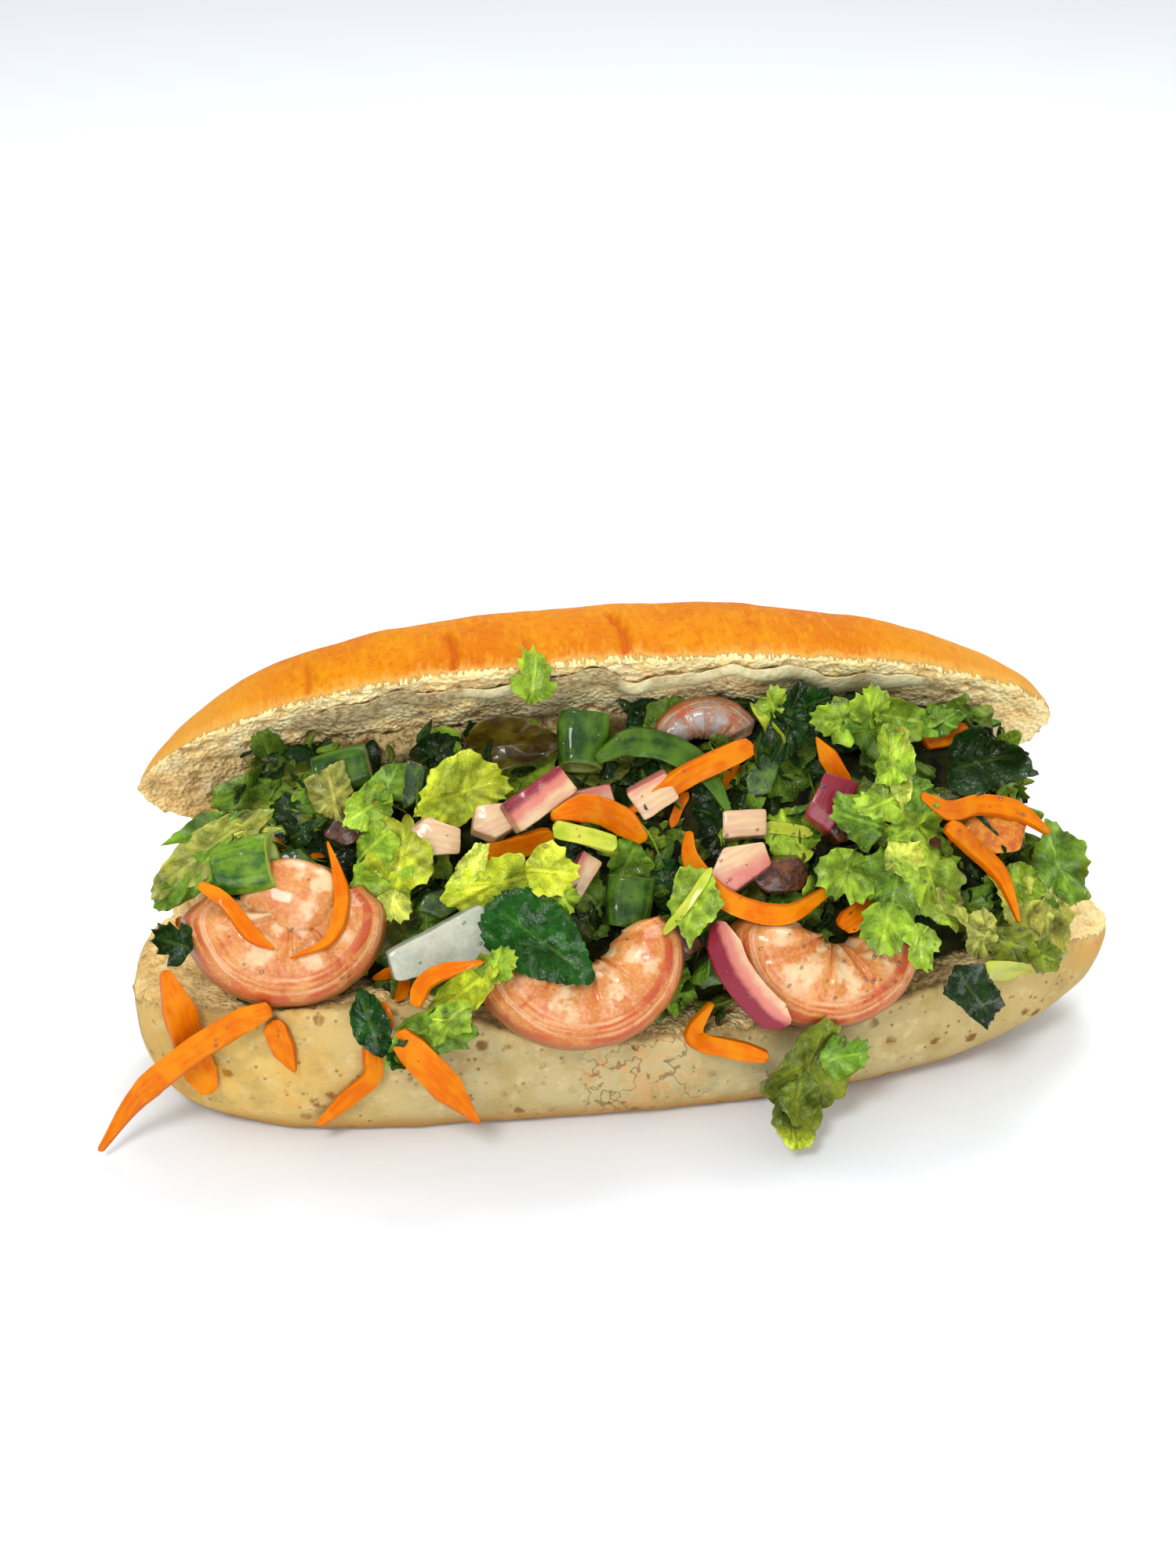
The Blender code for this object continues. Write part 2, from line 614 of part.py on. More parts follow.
# Everything else, from the back of the mouth to the front of it
PLACED = [
    ("pickle_slice", "leafy", "round", -28.4, 66.0, (28, 15), 8, 1.0),
    ("shrimp_back", "shrimp", 16.6, 61.5, 9.5, 5.5, 20, 140),
    ("scallion_far_left", "tube", -64.5, 62.5, 12.0, 4.8, 3.0, 10),
    ("scallion_back", "tube", -11.2, 65.5, 11.5, 5.4, 3.4, 80),
    ("cilantro_up", "leafy", "parsley", -21.5, 77.5, (20, 15), 75, 1.4),
    ("leaf_dark_top", "leafy", "parsley", 38.0, 66.5, (26, 17), 160, 1.8),
    ("leaf_top_right", "leafy", "parsley", 58.0, 65.5, (34, 19), 10, 2.2),
    ("leaf_cup_right", "leafy", "lettuce", 78.0, 55.0, (22, 17), 10, 2.4),
    ("carrot_chip", "strip", 4.2, ((40.3, 63.0), (43.4, 57.2), (46.5, 51.3))),
    ("lettuce_light", "leafy", "lettuce", -38.3, 56.2, (24, 16), 15, 2.0),
    ("leaf_left_back", "leafy", "parsley", -62.0, 56.0, (27, 15), 15, 1.8),
    ("leaf_left_low", "leafy", "parsley", -94.0, 48.0, (32, 19), 205, 2.0),
    ("onion_pale", "chunk", -32.8, 49.5, (10.5, 8, 5), 20, 1.5),
    ("onion_red", "chunk", -22.8, 53.4, (14, 7.5, 4.5), 35, 1.5),
    ("onion_right", "chunk", 41.5, 48.5, (13, 8, 4.5), 55, 1.5),
    ("onion_cream", "chunk", -45.4, 46.0, (12, 8, 5), -15, 1.5),
    ("green_strip", "strip", 6.6,
     ((-9.3, 61.1), (-1.0, 64.6), (8.0, 62.8), (15.5, 57.0), (20.1, 46.8))),
    ("carrot_top", "strip", 5.4, ((-3.1, 49.0), (3.6, 52.2), (12.0, 56.8), (26.0, 62.1))),
    ("carrot_big", "strip", 6.2, ((-21.1, 49.0), (-13.3, 50.4), (-5.7, 48.0), (0.6, 42.8))),
    ("carrot_mid", "strip", 4.8, ((-37.5, 41.5), (-29.9, 42.6), (-20.1, 45.1))),
    ("leaf_left_mid", "leafy", "lettuce", -56.0, 41.0, (25, 17), 120, 2.0),
    ("leaf_middle", "leafy", "parsley", -30.0, 36.5, (30, 18), 10, 2.0),
    ("green_stem", "strip", 4.0, ((-21.0, 46.6), (-14.0, 44.4), (-7.2, 41.9))),
    ("daikon_stick", "chunk", -45.0, 23.5, (22, 9.5, 6), 15, 0.0),
    ("scallion_middle", "tube", -4.0, 29.5, 11.0, 5.0, 3.2, 80),
    ("onion_big", "chunk", 20.2, 35.6, (15, 10, 6), 20, 2.0),
    ("shrimp_left", "shrimp", -77.7, 33.0, 14.2, 10.2, 172, 196),
    ("shrimp_middle", "shrimp", -15.5, 20.5, 15.8, 9.8, 188, 188),
    ("shrimp_right", "shrimp", 40.0, 19.0, 14.2, 9.8, 160, 205),
    ("onion_slice", "strip", 7.0, ((13.6, 24.0), (16.0, 14.0), (21.5, 5.5), (27.0, 0.5))),
    ("scallion_left", "tube", -87.2, 43.0, 13.0, 5.8, 3.6, 10),
    ("carrot_hook", "strip", 4.6, ((-97.0, 39.9), (-91.7, 35.7), (-86.7, 28.4), (-82.1, 25.0))),
    ("carrot_curl", "strip", 4.2,
     ((-69.3, 47.1), (-67.5, 40.0), (-67.2, 33.0), (-70.5, 26.0), (-79.0, 22.8))),
    ("carrot_ring", "strip", 4.8,
     ((9.7, 44.0), (9.6, 38.0), (13.4, 31.0), (20.4, 26.2), (29.8, 24.6), (40.7, 29.5))),
    ("carrot_right", "strip", 4.6, ((41.3, 20.6), (47.2, 24.2), (53.2, 29.3))),
    ("mint_leaf", "leafy", "mint", -25.3, 22.5, (30, 21), -38, 1.8),
    ("leaf_heart", "leafy", "mint", 8.5, 28.5, (21, 17), 250, 1.5),
    ("cilantro_right", "leafy", "parsley", 54.0, 31.5, (42, 38), 250, 2.6),
    ("leaf_upright", "leafy", "parsley", 54.5, 53.0, (24, 15), 80, 1.8),
    ("leaf_edge_right", "leafy", "parsley", 94.5, 31.0, (24, 18), 300, 2.0),
    ("lettuce_right", "leafy", "lettuce", 88.0, 22.0, (25, 18), 300, 2.4),
    ("leaf_olive", "leafy", "parsley", 80.0, 14.0, (30, 18), 335, 2.2),
    ("leaf_dark_low", "leafy", "parsley", 69.5, 4.0, (26, 22), 300, 1.8),
    ("carrot_loop", "strip", 4.6,
     ((59.8, 48.3), (67.0, 44.5), (75.0, 45.4), (84.0, 43.5), (91.0, 38.2))),
    ("carrot_loop_end", "strip", 4.0, ((66.0, 41.5), (72.0, 37.0), (78.5, 30.3), (81.6, 18.8))),
    ("leaf_bright", "leafy", "lettuce", -41.0, 14.5, (21, 12), 40, 1.8),
    ("leaf_dark_left", "leafy", "parsley", -51.0, 5.0, (24, 17), 20, 1.8),
    ("leaf_strip_left", "leafy", "lettuce", -63.0, 7.5, (15, 8), 285, 1.4),
    ("leaf_small_left", "leafy", "parsley", -101.5, 27.0, (13, 11), 150, 1.2),
    ("leaf_hanging", "leafy", "parsley", 32.5, -12.5, (32, 23), 262, 2.2),
    ("carrot_wide", "strip", 7.8, ((-105.6, 22.0), (-103.0, 12.0), (-100.8, 2.0), (-98.0, -6.0))),
    ("carrot_short", "strip", 5.6, ((-83.6, 9.5), (-81.8, 4.1), (-79.3, -2.2))),
    ("carrot_long", "strip", 6.0,
     ((-83.7, 12.4), (-92.0, 9.0), (-104.0, 2.0), (-114.0, -6.0), (-122.9, -17.1))),
    ("carrot_small_curl", "strip", 3.8, ((-38.6, 19.4), (-46.2, 18.0), (-51.2, 15.7), (-53.6, 11.0))),
    ("carrot_low", "strip", 4.6, ((-63.1, 2.6), (-62.6, -3.9), (-67.4, -8.6), (-75.1, -15.0))),
    ("carrot_taper", "strip", 6.6, ((-57.6, 5.4), (-51.5, -2.3), (-46.2, -8.9), (-40.7, -16.0))),
    ("carrot_tick", "strip", 4.4, ((12.6, 6.0), (8.6, 0.4), (10.0, -2.6), (16.0, -4.2), (23.1, -6.4))),
]


def place(row, index):
    """Make one named piece on top of the pile."""
    name, kind = row[:2]
    if kind == "leafy":
        shape, x, w, size, turn, wave = row[2:]
        spokes = 20 if size[0] > 22 else 16
        return leaf(shape, x, w, size[0], size[1], turn, wave, spokes, seed=index)
    if kind == "strip":
        return strip(row[3], row[2])
    if kind == "tube":
        x, w, length, outer, inner, turn = row[2:]
        return tube(x, w, length, outer, inner, turn)
    if kind == "chunk":
        x, w, size, turn, bow = row[2:]
        return chunk(x, w, size, turn, bow, seed=index)
    x, w, radius, body, start, sweep = row[2:]
    return shrimp(x, w, radius, body, start, sweep)


def build_bread():
    """Both halves, their joining strip and the torn crumb at the left end."""
    lower = [lower_ring(x) for x in stations(LOW_ENDS)]
    upper = [upper_ring(x) for x in stations(UP_ENDS)]
    tips_low = [(LOW_ENDS[i], 0.0, LOW_TIP_Z[i]) for i in (0, 1)]
    tips_up = [upper_point(UP_ENDS[i], UP_TIP_ALONG[i], 2.0) for i in (0, 1)]
    xs = np.linspace(WEB_ENDS[0], WEB_ENDS[1], 12)
    web = [web_ring(x, WEB_RADIUS) for x in xs]
    web_start = np.mean(web[0], axis=0) - np.array([WEB_TIP, 0.0, 0.0])
    web_end = np.mean(web[-1], axis=0) + np.array([WEB_TIP, 0.0, 0.0])
    bodies = [loft(lower, *tips_low), loft(upper, *tips_up), loft(web, web_start, web_end),
              ball(TEAR_AT, TEAR_SIZE, lump=0.08)]
    return fuse("bread", bodies, "EXACT")


def build_salad():
    """Chopped filling: its body with the small pieces fused on."""
    bodies = [salad_core()]
    PILE.add(*bodies[0])
    for i, (kind, x, w, size, turn) in enumerate(FUSED):
        if kind == "chunk":
            bodies.append(chunk(x, w, size, turn, 1.0, 2.2, 200 + i, 3))
        else:
            bodies.append(leaf("lettuce", x, w, size[0], size[1], turn, 1.4, 12, 200 + i, 1.6, 2.0))
    return fuse("salad", bodies, "EXACT")


def main():
    for obj in list(bpy.data.objects):
        bpy.data.objects.remove(obj)
    made = [build_bread()]
    PILE.add(*read_back(made[0]))
    smear = mayonnaise()
    made.append(make_object("mayonnaise", *smear))
    PILE.add(*smear)
    ROLL.add(PILE.verts, PILE.faces)
    salad = build_salad()
    made.append(salad)
    PILE.add(*read_back(salad))
    for i, row in enumerate(PLACED):
        verts, faces = place(row, i)
        made.append(make_object(row[0], verts, faces))
        PILE.add(verts, faces)
    everything = np.vstack([[v.co[:] for v in obj.data.vertices] for obj in made])
    low = everything.min(axis=0)
    high = everything.max(axis=0)
    shift = np.array([-(low[0] + high[0]) / 2.0, -(low[1] + high[1]) / 2.0, -low[2]])
    for obj in made:
        for vertex in obj.data.vertices:
            vertex.co = Vector(np.array(vertex.co) + shift)
    print("shift in mm", np.round(shift / MM, 3))


main()
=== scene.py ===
"""Looks of a long roll, opened along one side and filled with shrimps, herbs, carrot and onion.

Lengths are in millimetres until the meshes are made. X runs along the roll, Y away from the
open side and Z up. Places in the filling are given as (x, w, n): x along the roll, w up the
mouth and n out of it.
"""
import math
import random

import bmesh
import bpy
import numpy as np
from mathutils import Matrix, Vector
from mathutils.bvhtree import BVHTree
from mathutils.kdtree import KDTree


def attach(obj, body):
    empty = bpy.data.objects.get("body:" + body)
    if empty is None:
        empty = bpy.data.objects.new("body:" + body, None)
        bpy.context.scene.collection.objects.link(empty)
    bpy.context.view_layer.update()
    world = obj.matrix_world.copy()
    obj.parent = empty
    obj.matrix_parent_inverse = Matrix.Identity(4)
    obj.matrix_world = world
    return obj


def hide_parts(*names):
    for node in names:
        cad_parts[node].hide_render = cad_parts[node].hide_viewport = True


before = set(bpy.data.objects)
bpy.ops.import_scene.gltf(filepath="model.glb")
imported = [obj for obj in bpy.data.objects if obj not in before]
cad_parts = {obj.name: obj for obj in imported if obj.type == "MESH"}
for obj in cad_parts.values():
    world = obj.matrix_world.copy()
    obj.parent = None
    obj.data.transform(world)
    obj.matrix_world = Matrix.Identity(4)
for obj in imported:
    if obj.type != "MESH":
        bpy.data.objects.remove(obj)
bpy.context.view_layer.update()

MM = 0.001
SEED = 11

# How far the whole object was moved so that it stands over the middle of its base
SHIFT = np.array([4.867, 3.498, 0.0])

# Lower half of the roll
LOW_ENDS = (-113.5, 114.0)
LOW_HALF_WIDTH = 37.0
LOW_CUT_Z = 34.0
LOW_LIP_Z = 24.0
LOW_LIP_RISE = (14.0, 9.0)
LOW_FULLNESS = 1.22
LOW_ROUNDNESS = 0.42
LOW_TIP_Z = (24.0, 25.0)
LOW_TAPER = ((5.0, 2.6), (2.6, 1.9))
LOW_DISH = 3.0

# Waviness of both cut faces
CUT_BUMP = 0.7

# Upper half, hinged at the back and folded up
UP_ENDS = (-111.0, 104.0)
UP_HINGE = (36.0, 34.0)
UP_ANGLE = math.radians(63.0)
UP_WIDTH = 70.5
UP_THICK = 32.0
UP_TIP_ALONG = (30.0, 35.0)
UP_TIP_DEEP = 2.0
UP_TAPER = ((2.6, 1.6), (2.25, 1.65))
UP_DISH = 3.0

# Strip of crust and crumb that still joins the halves
WEB_ENDS = (-92.0, 73.0)
WEB_RADIUS = 11.5
WEB_TIP = 5.0
TEAR_AT = (-97.0, 15.0, 41.0)
TEAR_SIZE = (7.5, 12.0, 13.0)

# Marks that the strip and the torn crumb carry: way from the edge of the crust, and half
WEB_AWAY = 14.0
WEB_HALF = 0.4
TEAR_MARK = (-8.0, 0.5)

# Pores of the crumb: spacing and depth; rounds in which marks, fold and skin are evened out
PORES = ((4.4, 1.2), (2.4, 0.8))
MARK_ROUNDS = 3
FOLD_ROUNDS = 24
SKIN_ROUNDS = 2

# Grooves across the upper crust: x, lean, length and depth; crack: middle, half length, depth
UP_WRINKLES = ((-1.5, 1.6, 20.0, 1.3), (-39.5, 1.2, 17.0, 1.1), (-33.0, -1.0, 9.0, 0.6),
               (-72.0, 1.5, 14.0, 0.7), (28.0, 1.0, 8.0, 0.5))
LOW_CRACK = ((13.0, -34.0, 9.0), 6.0, 0.9)

# Plane of the mouth
MOUTH_Y = -38.0
MOUTH_Z = 26.0
MOUTH_TILT = math.radians(60.0)
ALONG = np.array([1.0, 0.0, 0.0])
UP = np.array([0.0, math.cos(MOUTH_TILT), math.sin(MOUTH_TILT)])
OUT = np.array([0.0, -math.sin(MOUTH_TILT), math.cos(MOUTH_TILT)])
ORIGIN = np.array([0.0, MOUTH_Y, MOUTH_Z]) + SHIFT

# Way into the mouth, and a height that is out of it everywhere
INWARDS = Vector((0.0, 0.0, -1.0))
FAR_OUT = 200.0

# Fineness of the bread and of the core of the filling
BREAD_STATIONS = 170
DOME_STEPS = 96
CUT_STEPS = 56
WEB_STATIONS = 90
WEB_AROUND = 40
BREAD_VOXEL = 1.15
CORE_VOXEL = 1.3
CORE_ROUNDS = 3

# Camera, at the photograph's viewing angle
CAMERA_AZIMUTH = math.radians(-8.0)
CAMERA_ELEVATION = math.radians(28.0)
CAMERA_AT = (-0.0806, -0.5343, 0.3578)
CAMERA_LENS = 63.0
CAMERA_SENSOR = 36.0

# Floor and light: name, place, size and power of each lamp, in metres and watts
FLOOR = 3.0
FLOOR_COLOUR = (0.80, 0.835, 0.87, 1.0)
WORLD_STRENGTH = 0.84
LIGHTS = (("key", (-0.35, -0.80, 0.85), 0.24, 7.2), ("fill", (0.0, -0.95, 0.16), 0.5, 3.6),
          ("top", (0.20, 0.45, 0.85), 0.5, 5.6))

# Share of light that a surface of full brightness gives back
TONE = 0.69


def srgb(r, g, b):
    """Linear colour of a surface that looks like an 8-bit screen colour in the scene's light."""
    out = []
    for c in (r, g, b):
        c = c / 255.0
        out.append(TONE * (c / 12.92 if c <= 0.04045 else ((c + 0.055) / 1.055) ** 2.4))
    return (out[0], out[1], out[2], 1.0)


def smooth(t):
    """Ease from 0 to 1."""
    t = np.clip(t, 0.0, 1.0)
    return t * t * (3.0 - 2.0 * t)


def to_row(local):
    """Turn rows of (x, w, n) into rows of (x, y, z)."""
    p = np.asarray(local, float)
    return ORIGIN + p[:, :1] * ALONG + p[:, 1:2] * UP + p[:, 2:3] * OUT


def to_mouth(points):
    """Turn rows of (x, y, z) into rows of (x, w, n)."""
    d = np.asarray(points, float) - ORIGIN
    return np.column_stack([d @ ALONG, d @ UP, d @ OUT])


# Meshes


def loft_faces(rings, count):
    """Quads through rings of count points and triangles to the two end points."""
    faces = []
    for r in range(rings - 1):
        for i in range(count):
            j = (i + 1) % count
            a = r * count + i
            b = r * count + j
            faces.append((a, b, b + count, a + count))
    head = rings * count
    base = (rings - 1) * count
    for i in range(count):
        j = (i + 1) % count
        faces.append((head, j, i))
        faces.append((head + 1, base + i, base + j))
    return faces


def ring_points(rows, tips):
    """Points of rings, one ring after the other, then the two end points."""
    return np.array([p for row in rows for p in row] + list(tips))


def disc_faces(rings, spokes):
    """Faces of a thin sheet: the points of its upper side and its middle, then those below."""
    count = rings * spokes + 1
    faces = []
    for i in range(spokes):
        j = (i + 1) % spokes
        faces.append((count - 1, i, j))
        faces.append((2 * count - 1, count + j, count + i))
        for r in range(rings - 1):
            p, q = r * spokes + i, r * spokes + j
            faces.append((p, p + spokes, q + spokes, q))
            faces.append((count + p, count + q, count + q + spokes, count + p + spokes))
        p, q = (rings - 1) * spokes + i, (rings - 1) * spokes + j
        faces.append((p, count + p, count + q, q))
    return faces


def volume(verts, faces):
    """Signed volume of a closed mesh of polygons."""
    fans = np.array([(f[0], f[k], f[k + 1]) for f in faces for k in range(1, len(f) - 1)])
    a, b, c = (np.asarray(verts)[fans[:, k]] for k in range(3))
    return float((a * np.cross(b, c)).sum())


def lattice(cells, seed):
    """Even random number from -1 to 1 for each row of whole numbers."""
    n = cells[:, 0] * 73856093 + cells[:, 1] * 19349663 + cells[:, 2] * 83492791 + seed * 40503
    n = ((n ^ (n >> 13)) * 1274126177) & 0x7FFFFFFF
    n = ((n ^ (n >> 16)) * 668265263) & 0x7FFFFFFF
    return ((n >> 7) & 0xFFFF) / 32767.5 - 1.0


class Body:
    """Closed mesh being put together, with named values at its vertices."""

    def __init__(self):
        self.verts = []
        self.faces = []
        self.values = {}

    def add(self, verts, faces, **values):
        """Add a closed piece; values are rows of 1, 3 or 4 numbers, one row per vertex."""
        verts = np.asarray(verts, float)
        if volume(verts, faces) < 0:
            faces = [tuple(f)[::-1] for f in faces]
        start = sum(len(v) for v in self.verts)
        self.verts.append(verts)
        self.faces += [tuple(int(i) + start for i in f) for f in faces]
        for key, rows in values.items():
            self.values.setdefault(key, []).append(np.asarray(rows, float))

    def build(self, name):
        """Mesh object in metres."""
        mesh = bpy.data.meshes.new(name)
        verts = np.vstack(self.verts)
        mesh.from_pydata([tuple(v) for v in verts * MM], [], self.faces)
        for key, rows in self.values.items():
            rows = np.vstack([r.reshape(len(r), -1) for r in rows])
            set_values(mesh, key, rows)
        mesh.polygons.foreach_set("use_smooth", np.ones(len(mesh.polygons), bool))
        obj = bpy.data.objects.new(name, mesh)
        bpy.context.scene.collection.objects.link(obj)
        return obj


def set_values(mesh, key, rows):
    """Store one row of numbers per vertex under a name that materials read."""
    rows = np.asarray(rows, np.float32).reshape(len(mesh.vertices), -1)
    kind, field = {1: ("FLOAT", "value"), 3: ("FLOAT_VECTOR", "vector"),
                   4: ("FLOAT_COLOR", "color")}[rows.shape[1]]
    layer = mesh.attributes.get(key) or mesh.attributes.new(key, kind, "POINT")
    layer.data.foreach_set(field, rows.ravel())


def finish_piece(obj, material, slot, *nodes):
    """Give a piece its material, and let it ride and stand for its nodes; slot is not used."""
    obj.data.materials.clear()
    obj.data.materials.append(material)
    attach(obj, "root")
    if nodes:
        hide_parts(*nodes)


def one_piece(node, material, slot, verts, faces, **values):
    """A closed piece in the place of its own node."""
    body = Body()
    body.add(verts, faces, **values)
    finish_piece(body.build(node + "_piece"), material, slot, node)


def shown(*left_out):
    """Meshes of the sandwich, without those whose names start like the ones left out."""
    return [obj for obj in bpy.context.scene.objects if obj.type == "MESH"
            and (obj.name.endswith("_piece") or obj.name.startswith("salad_"))
            and not obj.name.startswith(left_out)]


def fractal(points, size, octaves=3, seed=0.0):
    """Soft noise from about -1 to 1 at each point; size is its grain in millimetres."""
    p = np.asarray(points, float) / size
    out = np.zeros(len(p))
    gain = 1.0
    for octave in range(octaves):
        base = np.floor(p).astype(np.int64)
        f = smooth(p - base)
        for corner in range(8):
            step = np.array([corner & 1, corner >> 1 & 1, corner >> 2 & 1])
            weight = np.prod(np.where(step, f, 1.0 - f), axis=1)
            out += gain * weight * lattice(base + step, int(10.0 * seed) + octave)
        p = p * 2.03 + 11.7
        gain *= 0.5
    return out


def nearest_cell(points, size, seed):
    """Distance to the nearest of many scattered points, in shares of their spacing."""
    p = np.asarray(points, float) / size
    base = np.floor(p).astype(np.int64)
    near = np.full(len(p), 9.0)
    for k in range(27):
        cell = base + np.array([k % 3 - 1, k // 3 % 3 - 1, k // 9 - 1])
        at = cell + 0.5 + 0.45 * np.column_stack([lattice(cell, seed + j) for j in (0, 7, 13)])
        near = np.minimum(near, np.linalg.norm(at - p, axis=1))
    return near


def neighbours_mean(values, edges, count):
    """Mean of each vertex's neighbours."""
    total = np.zeros_like(values)
    np.add.at(total, edges[:, 0], values[edges[:, 1]])
    np.add.at(total, edges[:, 1], values[edges[:, 0]])
    return total / count[:, None]


def evened(values, edges, count, rounds):
    """Values drawn halfway to the mean of their neighbours, several times over."""
    for _ in range(rounds):
        values = 0.5 * values + 0.5 * neighbours_mean(values, edges, count)
    return values


def edge_table(mesh):
    """Edges of a mesh and the number of neighbours of each vertex."""
    edges = np.zeros(len(mesh.edges) * 2, np.int64)
    mesh.edges.foreach_get("vertices", edges)
    edges = edges.reshape(-1, 2)
    count = np.bincount(edges.ravel(), minlength=len(mesh.vertices)).astype(float)
    return edges, np.maximum(count, 1.0)


def mesh_points(mesh):
    """Vertices of a mesh in millimetres."""
    co = np.zeros(len(mesh.vertices) * 3)
    mesh.vertices.foreach_get("co", co)
    return co.reshape(-1, 3) / MM


def mesh_normals(mesh):
    """Vertex normals of a mesh."""
    mesh.update()
    nor = np.zeros(len(mesh.vertices) * 3)
    mesh.vertex_normals.foreach_get("vector", nor)
    return nor.reshape(-1, 3)


def put_points(mesh, points):
    """Move the vertices of a mesh to points in millimetres."""
    mesh.vertices.foreach_set("co", (np.asarray(points) * MM).ravel())
    mesh.update()


def remeshed(obj, voxel):
    """Replace an object's mesh by an even one, its grain given in millimetres."""
    step = obj.modifiers.new("even", "REMESH")
    step.mode = "VOXEL"
    step.voxel_size = voxel * MM
    bpy.context.view_layer.update()
    graph = bpy.context.evaluated_depsgraph_get()
    mesh = bpy.data.meshes.new_from_object(obj.evaluated_get(graph))
    obj.modifiers.clear()
    obj.data = mesh
    mesh.polygons.foreach_set("use_smooth", np.ones(len(mesh.polygons), bool))
    return obj


class Surface:
    """Outside of some CAD nodes, felt from outside the mouth."""

    def __init__(self, *names):
        verts = []
        faces = []
        for name in names:
            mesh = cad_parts[name].data
            start = len(verts)
            verts += [Vector(p) for p in to_mouth(mesh_points(mesh))]
            faces += [tuple(i + start for i in p.vertices) for p in mesh.polygons]
        self.tree = BVHTree.FromPolygons(verts, faces)
        self.high = max(v.z for v in verts)

    def top(self, x, w):
        """How far out the surface reaches at (x, w)."""
        hit = self.tree.ray_cast(Vector((x, w, FAR_OUT)), INWARDS)
        if hit[0] is None:
            near = self.tree.find_nearest(Vector((x, w, self.high)))
            return near[0].z
        return hit[0].z

    def tops(self, points):
        return np.array([self.top(p[0], p[1]) for p in points])


# Shapes of the roll


def taper(x, ends, powers):
    """Share of the full section left at x."""
    mid = (ends[0] + ends[1]) / 2.0
    half = (ends[1] - ends[0]) / 2.0
    s = abs(x - mid) / half
    power, root = powers[0] if x < mid else powers[1]
    return max(0.0, 1.0 - s ** power) ** (1.0 / root)


def lip_height(x):
    """Height of the lower lip: it sags under the filling and rises at both ends."""
    left = LOW_LIP_RISE[0] * smooth((-x - 15.0) / 45.0)
    right = LOW_LIP_RISE[1] * smooth((x - 35.0) / 50.0)
    return LOW_LIP_Z + left + right


def edge_distance(ring, dome):
    """Signed way round a section from its two edges: crust above 0, crumb below."""
    p = np.asarray(ring)
    step = np.linalg.norm(np.diff(np.vstack([p, p[:1]]), axis=0), axis=1)
    along = np.concatenate([[0.0], np.cumsum(step)])
    first = along[0]
    second = along[dome]
    whole = along[-1]
    out = []
    for i in range(len(p)):
        if i <= dome:
            out.append(min(along[i] - first, second - along[i]))
        else:
            out.append(-min(along[i] - second, whole - along[i]))
    return out


def lower_ring(x):
    """Section of the lower half at x."""
    size = taper(x, LOW_ENDS, LOW_TAPER)
    tip = LOW_TIP_Z[0] if x < 0 else LOW_TIP_Z[1]
    lip = lip_height(x)
    ring = []
    for i in range(DOME_STEPS + 1):
        phi = math.pi * i / DOME_STEPS
        u = -math.cos(phi)
        top = lip + (LOW_CUT_Z - lip) * (u + 1.0) / 2.0
        z = top * (1.0 - LOW_FULLNESS * max(0.0, math.sin(phi)) ** LOW_ROUNDNESS)
        ring.append((u, z))
    for i in range(1, CUT_STEPS):
        u = 1.0 - 2.0 * i / CUT_STEPS
        top = lip + (LOW_CUT_Z - lip) * (u + 1.0) / 2.0
        bump = CUT_BUMP * math.sin(x * 0.31 + 5.0 * u)
        ring.append((u, top - LOW_DISH * (1.0 - u * u) + bump * (1.0 - u * u)))
    return [(x, LOW_HALF_WIDTH * u * size, max(0.0, tip + (z - tip) * size)) for u, z in ring]


def upper_point(x, along, deep):
    """Point of the upper half: along its cut face from the hinge, deep into the crust."""
    y = UP_HINGE[0] - math.cos(UP_ANGLE) * along + math.sin(UP_ANGLE) * deep
    z = UP_HINGE[1] + math.sin(UP_ANGLE) * along + math.cos(UP_ANGLE) * deep
    return (x, y, z)


def upper_cut(x, u):
    """How deep the cut face is at x and u, from -1 to 1 across it."""
    return (UP_DISH + CUT_BUMP * math.sin(x * 0.27 + 4.0 * u)) * (1.0 - u * u)


def upper_ring(x):
    """Section of the upper half at x."""
    size = taper(x, UP_ENDS, UP_TAPER)
    half = UP_WIDTH / 2.0
    tip = UP_TIP_ALONG[0] if x < 0 else UP_TIP_ALONG[1]
    middle = tip + (half - tip) * size
    ring = []
    for i in range(DOME_STEPS + 1):
        phi = math.pi * i / DOME_STEPS
        u = -math.cos(phi)
        ring.append((u, UP_THICK * max(0.0, math.sin(phi)) ** 0.75))
    for i in range(1, CUT_STEPS):
        u = 1.0 - 2.0 * i / CUT_STEPS
        ring.append((u, upper_cut(x, u)))
    return [upper_point(x, middle + half * u * size, UP_TIP_DEEP + (v - UP_TIP_DEEP) * size)
            for u, v in ring]


def web_ring(x):
    """Section of the joining strip at x."""
    low = LOW_HALF_WIDTH * taper(x, LOW_ENDS, LOW_TAPER)
    up = upper_point(x, UP_WIDTH / 2.0 * (1.0 - taper(x, UP_ENDS, UP_TAPER)), UP_TIP_DEEP)
    y = (low + up[1]) / 2.0 - 3.0
    z = (LOW_CUT_Z - 1.0 + up[2]) / 2.0 + 1.0
    turn = [2.0 * math.pi * i / WEB_AROUND for i in range(WEB_AROUND)]
    return [(x, y + WEB_RADIUS * math.cos(t), z + WEB_RADIUS * math.sin(t)) for t in turn]


